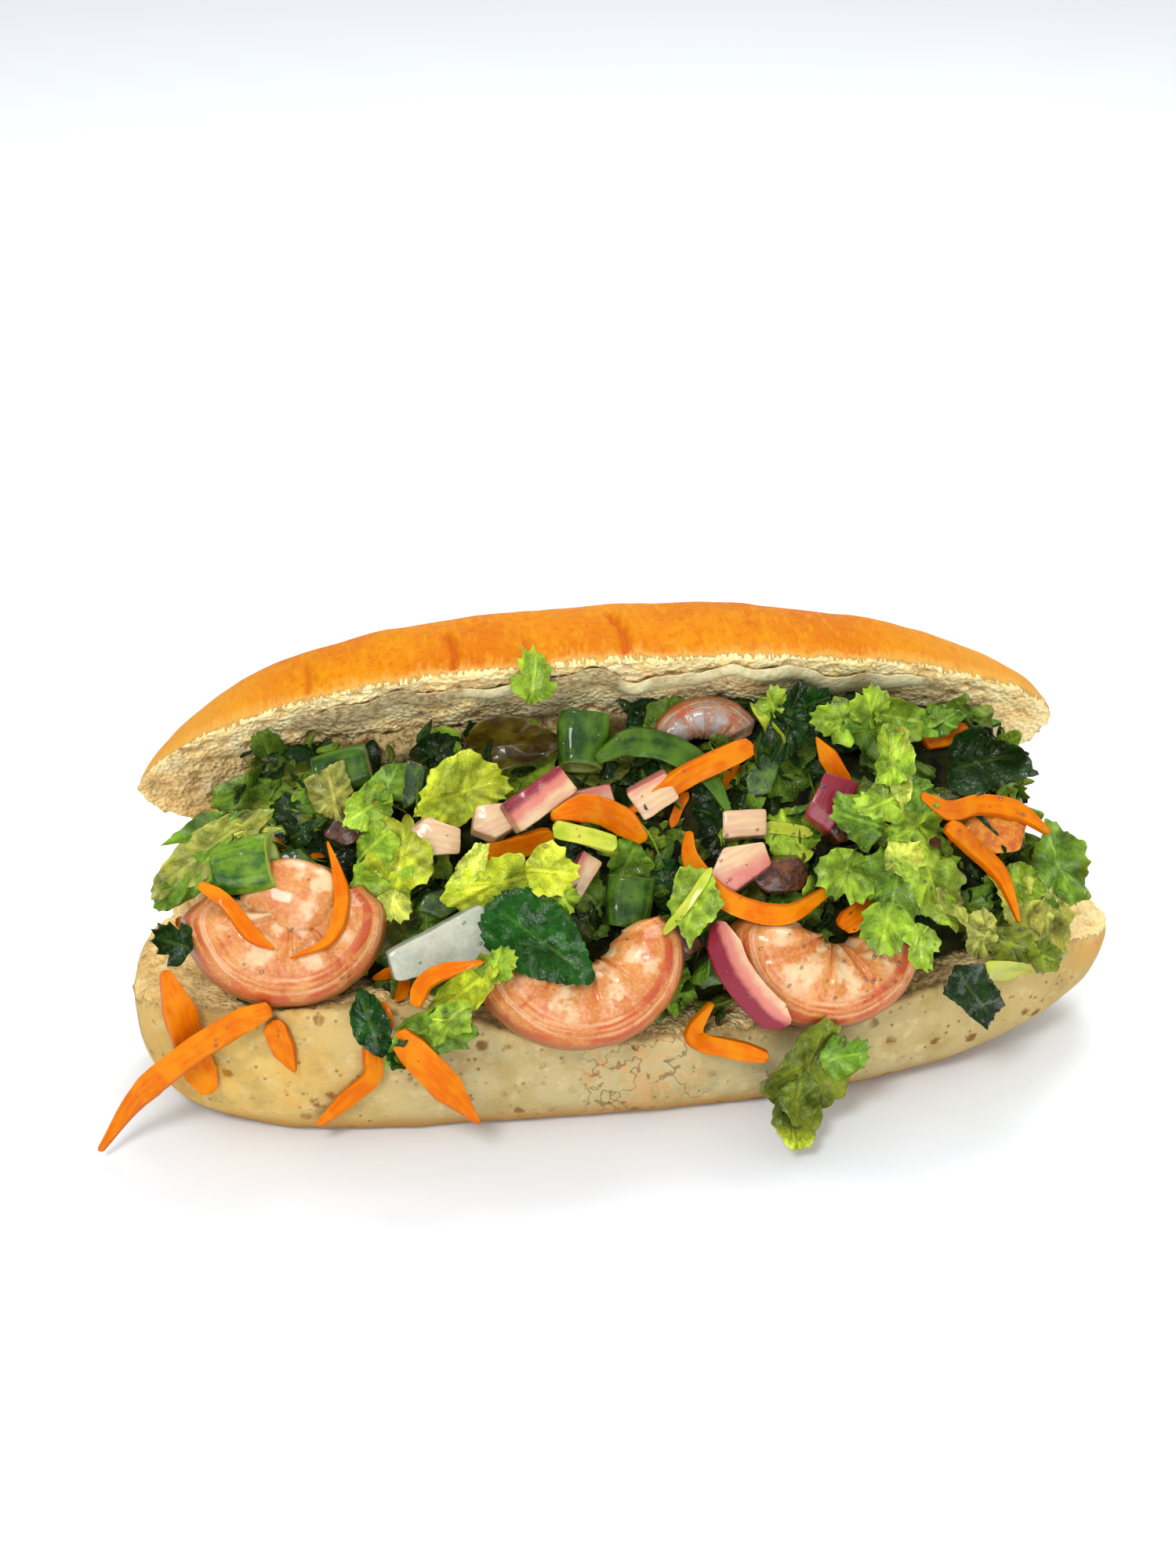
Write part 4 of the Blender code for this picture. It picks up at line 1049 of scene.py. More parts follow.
def lobed_outline(kind, t, rng):
    """Radius of a leaf at turns t, where t = 0 points to its tip."""
    if kind == "fan":
        phase = rng.uniform(0.0, 3.0)
        body = 0.46 + 0.50 * smooth((np.cos(t) + 0.9) / 1.3)
        lobes = np.abs(np.cos(1.5 * t + 0.5 * phase)) ** 0.7
        front = smooth((np.cos(t) + 0.5) / 0.9)
        body = body * (1.0 + 0.75 * waviness(t, rng))
        return body * (1.02 - front * (0.30 * (1.0 - lobes) + 0.17 * (1.0 - teeth(t, 8, phase))))
    if kind == "toothed":
        body = 0.30 + 0.66 * smooth((np.cos(t) + 0.75) / 1.2)
        lobes = np.abs(np.cos(1.5 * t + 0.1)) ** 0.7
        front = smooth((np.cos(t) + 0.4) / 0.8)
        return body * (1.02 - front * (0.36 * (1.0 - lobes) + 0.20 * (1.0 - teeth(t, 7, 0.4))))
    if kind in ("torn", "shard"):
        corners = rng.choice((5, 6, 7)) if kind == "torn" else rng.choice((4, 5))
        turns = [-math.pi + 2.0 * math.pi * (i + rng.uniform(-0.32, 0.32)) / corners
                 for i in range(corners)]
        reach = [rng.uniform(0.66, 1.1) for _ in turns]
        phase = rng.uniform(0.0, 6.28)
        jag = 0.015 * np.sin(13.0 * t + phase) + 0.05 * teeth(t, 11, phase)
        if kind == "torn":
            jag = jag + 0.8 * waviness(t, rng) + 0.09 * teeth(t, 7, 2.0 * phase)
        return cornered(t, turns, reach) * (0.95 + jag + 0.012 * np.sin(31.0 * t + phase))
    if kind == "blade":
        phase = rng.uniform(0.0, 6.28)
        body = pointed(t, 0.75, 0.75, 0.92)
        return body * (0.98 + 0.03 * np.sin(7.0 * t + phase) + 0.02 * np.sin(19.0 * t + phase))
    if kind == "mint":
        saw = (t * 15.0 / math.pi * np.sign(t)) % 1.0
        return pointed(t, 0.48, 0.86, 0.86) * (0.94 + 0.06 * saw)
    return 0.80 + 0.12 * np.cos(3.0 * t + 1.1) + 0.01 * np.sin(23.0 * t)


# Fineness of the leaves: rings and spokes
LEAF_GRID = (15, 132)
SPRIG_GRID = (10, 88)
HERB_GRID = (9, 72)
LOOSE_GRID = (5, 48)
SCRAP_GRID = (2, 20)

# Spacing of the folds between the veins of a leaf
PLEAT = 3.4


def eased_grid(values, rounds):
    """Smooth a grid of rings by spokes, whose spokes close on themselves."""
    for _ in range(rounds):
        around = 0.5 * (np.roll(values, 1, axis=1) + np.roll(values, -1, axis=1))
        inner = np.vstack([values[:1].mean() * np.ones_like(values[:1]), values[:-1]])
        outer = np.vstack([values[1:], values[-1:]])
        values = 0.4 * values + 0.3 * around + 0.15 * (inner + outer)
    return values


def leaf_sheet(kind, x, w, size, turn, surface, seed, ruffle=0.7, thick=0.45, grid=LEAF_GRID,
               lift=0.0, curl=0.0, crinkle=1.0, tilt=0.08):
    """Wavy leaf lying where a surface is: verts, faces, leaf places and the painted light and shade
    of its folds.
    """
    rng = random.Random(SEED * 100 + seed)
    length, width = size
    rings, spokes = grid
    turn = math.radians(turn)
    t = np.linspace(-math.pi, math.pi, spokes, endpoint=False)
    edge = lobed_outline(kind, t, rng)
    shares = (np.arange(1, rings + 1) / rings) ** 0.9
    a = shares[:, None] * (edge * np.cos(t))[None, :] * length / 2.0
    b = shares[:, None] * (edge * np.sin(t))[None, :] * width / 2.0
    bow = rng.uniform(-0.16, 0.16) * width
    b = b + bow * (2.0 * a / length) ** 2
    px = x + a * math.cos(turn) - b * math.sin(turn)
    pw = w + a * math.sin(turn) + b * math.cos(turn)
    tops = surface.tops(np.column_stack([px.ravel(), pw.ravel()])).reshape(a.shape)
    tops = eased_grid(tops, 5) + lift
    phase = rng.uniform(0.0, 6.28)
    waves = rng.choice((4, 5, 6))
    share = shares[:, None] * np.ones_like(a)
    wave = np.sin(waves * t + phase) + 0.45 * np.sin(2.4 * waves * t + 2.0 * phase)
    tops += ruffle * share ** 2.4 * wave[None, :]
    tops += curl * share ** 3
    tops += rng.uniform(-tilt, tilt) * a + rng.uniform(-tilt, tilt) * b
    grain = np.column_stack([px.ravel() + 37.0 * seed, pw.ravel(), np.zeros(a.size)])
    broad = fractal(grain, 6.5, 2, 3.0).reshape(a.shape)
    fine = fractal(grain, 2.3, 2, 6.0).reshape(a.shape)
    bent = a - 0.9 * np.abs(b)
    pleat = np.cos(2.0 * math.pi * bent / PLEAT) * (1.0 - 0.5 * share)
    rib = np.exp(-(b / 0.6) ** 2) * (1.0 - share)
    tops += crinkle * (0.9 * broad + 0.28 * fine + 0.16 * pleat) - 0.3 * rib
    # Painted light and shade: the leaf colour is made lighter where its folds rise and darker in
    # the hollows between them.
    shade = 1.0 + 0.36 * broad + 0.24 * fine + 0.16 * pleat + 0.10 * ruffle * share * wave[None, :]
    middle = tops[0].mean()
    body = thick * (1.0 - 0.6 * share ** 4)
    high = np.vstack([np.column_stack([px.ravel(), pw.ravel(), tops.ravel()]), [(x, w, middle)]])
    low = high.copy()
    low[:, 2] -= np.append(body.ravel(), thick)
    place = np.column_stack([a.ravel(), b.ravel(), share.ravel()])
    place = np.vstack([place, [(0.0, 0.0, 0.0)]])
    shade = np.append(np.clip(shade, 0.55, 1.5).ravel(), 1.0)
    verts = to_row(np.vstack([high, low]))
    return verts, disc_faces(rings, spokes), np.vstack([place, place]), np.tile(shade, 2)


def curve(points, count):
    """Smooth path through a few points."""
    pts = np.asarray(points, float)
    pts = np.vstack([2.0 * pts[0] - pts[1], pts, 2.0 * pts[-1] - pts[-2]])
    spans = len(pts) - 3
    path = []
    for i in range(count):
        t = spans * i / (count - 1)
        k = min(int(t), spans - 1)
        t -= k
        p0, p1, p2, p3 = pts[k:k + 4]
        path.append(0.5 * (2.0 * p1 + (p2 - p0) * t + (2.0 * p0 - 5.0 * p1 + 4.0 * p2 - p3) * t * t
                           + (3.0 * p1 - p0 - 3.0 * p2 + p3) * t ** 3))
    return np.array(path)


def eased_line(values, rounds):
    for _ in range(rounds):
        inner = np.concatenate([values[:1], values[:-1]])
        outer = np.concatenate([values[1:], values[-1:]])
        values = 0.5 * values + 0.25 * (inner + outer)
    return values


# Cut strips: points round, how square a section is, step along, unevenness and corner size
SECTION_STEPS = 24
STRIP_SQUARE = 0.2
STRIP_STEP = 0.5
STRIP_ROUGH = 0.03
STRIP_CORNER = 0.7


def strip_body(points, width, surface, thick=2.0, ends=(0.35, 0.35), lift=0.0, grow=(4.0, 4.0),
               roll=0.0):
    """Cut strip lying where a surface is, along a path of (x, w) points."""
    pts = np.asarray(points, float)
    length = np.linalg.norm(np.diff(pts, axis=0), axis=1).sum()
    count = max(12, int(length / STRIP_STEP))
    path = curve(pts, count)
    along = np.gradient(path, axis=0)
    along /= np.linalg.norm(along, axis=1)[:, None]
    side = np.column_stack([-along[:, 1], along[:, 0]])
    share = np.linspace(0.0, 1.0, count)
    size = np.minimum(1.0, np.minimum(ends[0] + share * grow[0], ends[1] + (1.0 - share) * grow[1]))
    reach = np.clip(np.minimum(share, 1.0 - share) * length / STRIP_CORNER, 0.0, 1.0)
    half = width / 2.0 * size * (0.35 + 0.65 * np.sqrt(1.0 - (1.0 - reach) ** 2))
    left = surface.tops(path + side * (half * 0.7)[:, None])
    right = surface.tops(path - side * (half * 0.7)[:, None])
    middle = eased_line((left + right) / 2.0, 110)
    tilt = eased_line((left - right) / 1.4, 110)
    spin = roll * np.sin(2.6 * share + length)
    deep = thick * (0.55 + 0.45 * size)
    turn = 2.0 * np.pi * np.arange(SECTION_STEPS) / SECTION_STEPS
    c, s = np.cos(turn), np.sin(turn)
    u = np.sign(c) * np.abs(c) ** STRIP_SQUARE
    v = np.sign(s) * np.abs(s) ** STRIP_SQUARE
    rows = np.zeros((count, SECTION_STEPS, 3))
    flat = half[:, None] * u
    tall = deep[:, None] * 0.5 * v
    across = flat * np.cos(spin)[:, None] - tall * np.sin(spin)[:, None]
    above = flat * np.sin(spin)[:, None] + tall * np.cos(spin)[:, None]
    rows[:, :, :2] = path[:, None, :] + side[:, None, :] * across[:, :, None]
    rows[:, :, 2] = (middle + lift - deep * 0.5)[:, None] + tilt[:, None] * u + above
    shape = np.zeros((count, SECTION_STEPS, 3))
    shape[:, :, 0] = (share * length)[:, None]
    shape[:, :, 1] = half[:, None] * u
    shape[:, :, 2] = deep[:, None] * 0.5 * v
    ends_at = []
    shape_at = []
    for i, way in ((0, -1.0), (count - 1, 1.0)):
        flat = path[i] + along[i] * way * half[i] * 0.25
        ends_at.append((flat[0], flat[1], middle[i] + lift - deep[i] * 0.5))
        shape_at.append((share[i] * length, 0.0, 0.0))
    world = to_row(np.vstack([rows.reshape(-1, 3), ends_at]))
    wobble = fractal(world[:-2], 3.0, 2, length)
    middles = world[:-2].reshape(count, SECTION_STEPS, 3).mean(axis=1)
    centre = np.repeat(middles, SECTION_STEPS, axis=0)
    world[:-2] += (world[:-2] - centre) * (STRIP_ROUGH * wobble)[:, None]
    return world, loft_faces(count, SECTION_STEPS), np.vstack([shape.reshape(-1, 3), shape_at])


def turned(points, turn, x, w):
    """Turn local (a, b, n) points in the plane of the mouth and put them at (x, w)."""
    p = np.asarray(points, float)
    c = math.cos(math.radians(turn))
    s = math.sin(math.radians(turn))
    return np.column_stack([x + p[:, 0] * c - p[:, 1] * s, w + p[:, 0] * s + p[:, 1] * c, p[:, 2]])


def seated(local, surface, rise=None):
    """Put a rigid piece at a height, or as far out as the CAD node it stands for."""
    local[:, 2] += surface.high - local[:, 2].max() if rise is None else rise
    return to_row(local)


def uneven(points, depth, size, octaves, seed):
    """Points moved about by soft noise, by up to depth."""
    ways = [fractal(points, size, octaves, seed + k) for k in (0.0, 5.0, 9.0)]
    return points + depth * np.column_stack(ways)


# Chips: rings and spokes of a face, unevenness, lean of the sides and width of the bevel
CHIP_RINGS = 9
CHIP_SPOKES = 84
CHIP_ROUGH = 0.10
CHIP_SLOPE = 0.25
CHIP_BEVEL = 0.35


def chip_body(x, w, size, turn, seed, surface=None, rise=None, corners=4, bow=0.6, bend=0.02,
              narrow=0.0):
    """Cut piece with flat crisp faces and a few sharp corners, slightly bent."""
    rng = random.Random(SEED * 31 + seed)
    t = np.linspace(-math.pi, math.pi, CHIP_SPOKES, endpoint=False)
    start = math.pi / corners if corners == 4 else 0.0
    turns = [start - math.pi + 2.0 * math.pi * (i + rng.uniform(-0.14, 0.14)) / corners
             for i in range(corners)]
    reach = [(1.34 if corners == 4 else 1.06) * rng.uniform(0.84, 1.04) for _ in turns]
    edge = cornered(t, turns, reach)
    edge = 0.5 * edge + 0.25 * (np.roll(edge, 1) + np.roll(edge, -1))
    shift = [rng.uniform(-CHIP_SLOPE, CHIP_SLOPE) for _ in range(2)]
    bevel = CHIP_BEVEL
    deep = size[2]
    levels = [(s, 0.0) for s in np.linspace(1.0 / CHIP_RINGS, 1.0, CHIP_RINGS)[:-1]]
    levels += [(1.0, 0.0), (1.0 + bevel / size[1], 0.4 * bevel), (1.0 + bevel / size[1], bevel)]
    levels += [(1.0 + bevel / size[1], d) for d in np.linspace(bevel, deep - bevel, 6)[1:-1]]
    levels += [(1.0 + bevel / size[1], deep - bevel), (1.0, deep)]
    levels += [(s, deep) for s in np.linspace(1.0, 1.0 / CHIP_RINGS, CHIP_RINGS)[1:]]
    rows = []
    shape = []
    for share, down in levels:
        a = share * edge * np.cos(t) * size[0] / 2.0
        b = share * edge * np.sin(t) * size[1] / 2.0 * (1.0 + narrow * 2.0 * a / size[0])
        n = deep / 2.0 - down + bow * (1.0 - (2.0 * a / size[0]) ** 2) - bend * b * b
        rows.append(np.column_stack([a + shift[0] * down, b + shift[1] * down, n]))
        shape.append(np.column_stack([a, b, np.full(CHIP_SPOKES, deep / 2.0 - down)]))
    rows.append([(0.0, 0.0, deep / 2.0 + bow),
                 (shift[0] * deep, shift[1] * deep, -deep / 2.0 + bow)])
    shape.append([(0.0, 0.0, deep / 2.0), (0.0, 0.0, -deep / 2.0)])
    world = seated(turned(np.vstack(rows), turn, x, w), surface, rise)
    world = uneven(world, CHIP_ROUGH, 2.4, 3, seed)
    return world, loft_faces(len(levels), CHIP_SPOKES), np.vstack(shape)


# Shrimps: rings along, points round and height of the curl to its width
SHRIMP_RINGS = 132
SHRIMP_AROUND = 56
SHRIMP_SQUASH = 0.9


def shrimp_body(x, w, radius, body, start, sweep, surface):
    """Curled shrimp: swollen joints, a creased inner side and ridges along its back."""
    t = np.linspace(0.0, 1.0, SHRIMP_RINGS)[:, None]
    b = (2.0 * np.pi * np.arange(SHRIMP_AROUND) / SHRIMP_AROUND)[None, :]
    a = np.radians(start + sweep * t)
    c, s = np.cos(b), np.sin(b)
    bulk = body * (0.66 + 0.34 * np.sin(np.pi * np.minimum(1.0, 0.30 + 0.72 * t)) ** 0.8)
    bulk = bulk * (1.0 - 0.42 * smooth((0.09 - t) / 0.09) - 0.34 * smooth((t - 0.90) / 0.10))
    joints = 4.0 * t + 0.25 + 0.10 * np.sin(2.2 * t * 5.0) - 0.10 * c * np.cos(3.0 * t)
    cell = np.abs(joints % 1.0 - 0.5) * 2.0
    inner = smooth((0.45 - c) / 1.2)
    joint = 1.0 - (0.02 + 0.06 * inner) * smooth((cell - 0.66) / 0.34)
    swell = 1.0 + 0.035 * np.cos(2.0 * np.pi * joints) * inner
    back = smooth((c - 0.25) / 0.4)
    ridge = 1.0 + 0.014 * back * np.cos(11.0 * b + 1.0 * np.sin(4.0 * t))
    k = bulk * joint * swell * ridge
    mid = radius * (1.0 - 0.10 * t)
    flat = np.sign(s) * np.abs(s) ** 0.9
    out = mid + k * c
    rows = np.stack([out * np.cos(a), out * np.sin(a) * SHRIMP_SQUASH, k * 0.90 * flat], axis=2)
    shape = np.stack([t + 0.0 * c, c + 0.0 * t, s + 0.0 * t], axis=2)
    caps = []
    for end, step in ((0.0, -3.0), (1.0, 3.0)):
        turn = math.radians(start + sweep * end + step * math.copysign(1.0, sweep))
        far = radius * (1.0 - 0.10 * end)
        caps.append((far * math.cos(turn), far * math.sin(turn) * SHRIMP_SQUASH, 0.0))
    local = np.vstack([rows.reshape(-1, 3), caps])
    world = seated(turned(local, 0.0, x, w), surface)
    push = 0.40 * fractal(world, 6.0, 2, x) + 0.12 * fractal(world, 1.6, 2, w)
    world += push[:, None] * (0.35 * UP + OUT)
    shape = np.vstack([shape.reshape(-1, 3), [(0.0, 0.0, 0.0), (1.0, 0.0, 0.0)]])
    return world, loft_faces(SHRIMP_RINGS, SHRIMP_AROUND), shape


# Scallions: points round, steps along and unevenness
TUBE_AROUND = 56
TUBE_STEPS = 14
TUBE_ROUGH = 0.2


def tube_body(x, w, length, outer, inner, turn, surface, seed):
    """Short length of scallion: a flattened ring of wall thickness outer - inner."""
    count = TUBE_AROUND
    rng = random.Random(SEED * 17 + seed)
    slant = rng.uniform(-0.35, 0.35)
    pinch = rng.uniform(-0.2, 0.2)
    rows = []
    shape = []
    skin = []
    profile = [(-0.5, outer * 0.97), *[(-0.49 + 0.98 * k / TUBE_STEPS, outer)
                                       for k in range(TUBE_STEPS + 1)], (0.5, outer * 0.97)]
    profile += [(0.5, inner * 1.03), *[(0.49 - 0.98 * k / TUBE_STEPS, inner)
                                       for k in range(TUBE_STEPS + 1)], (-0.5, inner * 1.03)]
    b = 2.0 * np.pi * np.arange(count) / count
    c, s = np.cos(b), np.sin(b)
    u = np.sign(c) * np.abs(c) ** 0.62
    v = np.sign(s) * np.abs(s) ** 0.75
    for end, r in profile:
        waist = 1.0 + 0.05 * math.sin(4.0 * end + 1.0) + pinch * end
        flute = 1.0 + 0.03 * np.sin(3.0 * b + 3.0 * end)
        rows.append(np.column_stack([end * length + slant * r * s, r * flute * waist * u,
                                     r * flute * v * 0.78]))
        shape.append(np.column_stack([np.full(count, end * length), r * c, r * s]))
        wall = r > (outer + inner) / 2.0 and abs(end) < 0.5
        skin.append(np.full(count, 0.0 if wall else 0.8))
    faces = []
    rings = len(profile)
    for r in range(rings):
        for i in range(count):
            j = (i + 1) % count
            nxt = (r + 1) % rings
            faces.append((r * count + i, r * count + j, nxt * count + j, nxt * count + i))
    world = uneven(seated(turned(np.vstack(rows), turn, x, w), surface), TUBE_ROUGH, 4.0, 2, seed)
    return world, faces, np.vstack(shape), np.concatenate(skin)


# Smear: ends, stations, steps across, and where it is thick: x, half length, thickness
MAYO_ENDS = (-74.0, 74.0)
MAYO_STATIONS = 330
MAYO_ACROSS = 16
MAYO_PATCHES = ((-31.0, 6.0, 0.5), (2.0, 3.0, 0.8), (35.0, 17.0, 0.9), (64.0, 7.0, 0.6))


def mayonnaise_rows():
    """Uneven smear along the cut face of the upper half, near its lip."""
    length = MAYO_ENDS[1] - MAYO_ENDS[0]
    xs = MAYO_ENDS[0] + length * np.arange(MAYO_STATIONS) / (MAYO_STATIONS - 1)
    line = np.column_stack([xs, np.full(MAYO_STATIONS, 3.0), np.zeros(MAYO_STATIONS)])
    wave = fractal(line, 7.0, 3, 1.0)
    blob = np.maximum(0.0, fractal(line, 9.0, 2, 5.0))
    rows = []
    thick = []
    for i, x in enumerate(xs):
        size = taper(x, UP_ENDS, UP_TAPER)
        edge = UP_WIDTH / 2.0 * (1.0 + size)
        high = (edge - 4.5 - 1.6 * math.sin(0.16 * x) - 1.2 * math.sin(0.41 * x + 1.0)
                + 2.2 * wave[i])
        low = high - 6.0 - 1.5 * math.sin(0.12 * x + 2.0) - 1.6 * wave[i]
        patch = sum(deep * math.exp(-abs((x - at) / wide) ** 3) for at, wide, deep in MAYO_PATCHES)
        ease = 1.0 - 0.7 * abs(2.0 * i / (MAYO_STATIONS - 1) - 1.0) ** 6
        k = (0.16 + 0.25 * blob[i] + patch) * ease
        thick += [min(1.0, k)] * (2 * MAYO_ACROSS)
        row = []
        for m in range(2 * MAYO_ACROSS):
            outer = m < MAYO_ACROSS
            s = m / MAYO_ACROSS if outer else 2.0 - m / MAYO_ACROSS
            along = high + (low - high) * s
            rise = 1.2 * k * math.sin(math.pi * min(1.0, max(0.0, s))) ** 0.9 - 0.1
            u = (along - UP_WIDTH / 2.0) / (UP_WIDTH / 2.0 * size)
            face = UP_TIP_DEEP + (upper_cut(x, u) - UP_TIP_DEEP) * size
            row.append(upper_point(x, along, face - 1.0 - (rise if outer else -0.4)))
        rows.append(row)
    tips = (np.mean(rows[0], axis=0) - ALONG, np.mean(rows[-1], axis=0) + ALONG)
    return ring_points(rows, tips) + SHIFT, loft_faces(len(rows), len(rows[0])), thick + [0.0, 0.0]


# Colours of the greens
GREENS = {
    "lime": srgb(196, 212, 58), "light": srgb(204, 214, 96), "fresh": srgb(154, 188, 58),
    "mid": srgb(110, 150, 46), "deep": srgb(18, 66, 16), "dark": srgb(20, 52, 10),
    "olive": srgb(110, 124, 38), "grey": srgb(168, 172, 84), "mint": srgb(20, 80, 14),
}

# Leaves: node, kind, x, w, size, turn, green, ruffle, curl and crinkle
LEAVES = [
    ("cilantro_up", "toothed", -21.8, 77.5, (21, 15), 80, "fresh", 0.7, 0.6, 1.1),
    ("leaf_cup_right", "round", 78.0, 55.0, (24, 18), 10, "dark", 1.6, 3.2, 1.0),
    ("lettuce_light", "torn", -38.3, 56.2, (25, 17), 15, "lime", 1.0, -0.6, 0.9),
    ("mint_leaf", "mint", -25.3, 22.5, (29, 20), -40, "mint", 0.7, -1.0, 1.1),
    ("leaf_heart", "torn", 8.5, 28.5, (21, 15), 245, "fresh", 0.7, -0.6, 0.8),
    ("leaf_edge_right", "torn", 94.5, 31.0, (25, 19), 300, "mid", 1.3, 0.8, 1.2),
    ("leaf_dark_low", "shard", 69.5, 4.0, (28, 20), 312, "dark", 0.9, 0.0, 1.1),
    ("leaf_strip_left", "blade", -63.0, 7.5, (16, 9), 285, "deep", 0.6, 0.5, 0.8),
    ("leaf_small_left", "toothed", -101.5, 27.0, (16, 14), 160, "dark", 1.0, 0.4, 1.1),
]

# A leaf whose tip is of another green: node, how far along it, green
LIGHT_TIP = ("leaf_hanging", 3.5, "lime")

# Leaves of several leaflets: node, x, w, then kind, place, size, turn, green and lift of each
SPRIGS = [
    ("leaf_dark_top", 38.0, 66.5, (
        ("blade", -3.0, 0.0, (21, 10), 65, "dark", 0.3),
        ("blade", 4.0, -1.0, (20, 9), 150, "dark", 0.0),
        ("fan", -6.0, 4.0, (11, 9), 120, "fresh", 0.8),
        ("torn", 4.0, 4.5, (12, 8), 20, "deep", 0.6))),
    ("leaf_top_right", 58.0, 65.5, (
        ("torn", -2.0, -1.5, (28, 15), 5, "mid", -0.2),
        ("fan", -11.0, 1.0, (17, 14), 190, "fresh", 0.4),
        ("torn", 4.0, 1.0, (20, 13), 350, "fresh", 0.7),
        ("fan", -3.5, 2.5, (16, 12), 110, "fresh", 1.0),
        ("shard", 12.5, -0.5, (14, 10), 20, "mid", 0.4))),
    ("leaf_left_back", -62.0, 56.0, (
        ("shard", -5.0, 0.5, (18, 14), 100, "grey", 0.0),
        ("torn", 2.5, -2.0, (17, 13), 30, "fresh", 0.6),
        ("shard", 7.0, 3.0, (14, 10), 60, "mid", 0.3))),
    ("leaf_left_low", -94.0, 48.0, (
        ("shard", 1.5, 4.0, (29, 11), 203, "mid", 0.6),
        ("blade", -1.0, -1.0, (33, 11), 212, "grey", 1.0),
        ("blade", -4.0, -5.5, (25, 9), 222, "mid", 0.2),
        ("shard", 9.0, 3.0, (15, 9), 190, "light", 1.2))),
    ("leaf_left_mid", -56.0, 41.0, (
        ("torn", -1.0, -3.5, (20, 16), 130, "fresh", 0.2),
        ("torn", 2.5, 2.5, (19, 15), 80, "lime", 0.9),
        ("shard", -3.0, 5.0, (14, 10), 40, "fresh", 0.6),
        ("fan", 0.0, -8.0, (12, 10), 260, "light", 1.0))),
    ("leaf_middle", -30.0, 36.5, (
        ("torn", -3.0, -1.0, (25, 16), 10, "lime", 0.0),
        ("fan", 6.0, 1.0, (18, 15), 350, "lime", 0.7),
        ("torn", -9.0, 3.0, (12, 8), 50, "light", 0.8),
        ("fan", 10.0, -5.0, (10, 8), 300, "fresh", 0.9))),
    ("cilantro_right", 54.0, 31.5, (
        ("torn", 0.0, -2.0, (30, 26), 250, "mid", -1.0),
        ("fan", -11.0, 2.0, (21, 16), 235, "fresh", 0.3),
        ("torn", 8.0, -1.0, (25, 21), 285, "fresh", 0.9),
        ("fan", -3.5, -10.0, (18, 18), 250, "fresh", 0.7),
        ("torn", -6.5, 12.0, (19, 13), 160, "mid", 0.6),
        ("torn", 6.5, 10.5, (17, 13), 20, "fresh", 0.5),
        ("fan", 3.0, -14.5, (15, 12), 265, "fresh", 1.2),
        ("shard", 13.0, -8.0, (13, 10), 300, "grey", 0.5),
        ("fan", 1.0, 3.0, (15, 12), 30, "light", 1.5))),
    ("leaf_upright", 54.5, 53.0, (
        ("torn", 0.5, 4.0, (19, 11), 85, "fresh", 0.2),
        ("blade", 1.5, 1.5, (20, 6), 82, "light", 0.8),
        ("fan", -2.5, -5.5, (16, 13), 200, "fresh", 0.8),
        ("torn", 5.0, -4.0, (12, 10), 330, "mid", 0.3))),
    ("lettuce_right", 88.0, 22.0, (
        ("torn", -1.0, 1.0, (24, 17), 300, "light", 0.2),
        ("shard", 3.5, -3.5, (18, 13), 270, "grey", 1.0),
        ("torn", -4.0, 6.0, (14, 12), 150, "fresh", 0.6))),
    ("leaf_olive", 80.0, 14.0, (
        ("shard", -1.0, 0.5, (26, 14), 335, "olive", 0.0),
        ("torn", -7.0, 2.5, (15, 12), 100, "grey", 0.9),
        ("shard", 6.5, -3.0, (13, 9), 340, "olive", 0.8))),
    ("leaf_hanging", 32.5, -12.5, (
        ("torn", 0.0, 2.0, (28, 22), 255, "olive", 0.0),
        ("fan", 6.0, 4.5, (16, 14), 10, "mid", 0.5),
        ("blade", -3.0, -6.5, (18, 13), 258, "olive", 0.7))),
    ("leaf_bright", -41.0, 14.5, (
        ("blade", -2.0, -1.5, (19, 9), 35, "lime", 0.2),
        ("fan", 4.5, 3.0, (13, 11), 70, "fresh", 0.8))),
    ("leaf_dark_left", -51.0, 5.0, (
        ("torn", -1.0, 0.0, (22, 13), 20, "mid", 0.0),
        ("torn", 5.0, 3.0, (14, 9), 40, "fresh", 0.9),
        ("torn", -6.0, -3.5, (12, 8), 350, "deep", 0.6))),
]

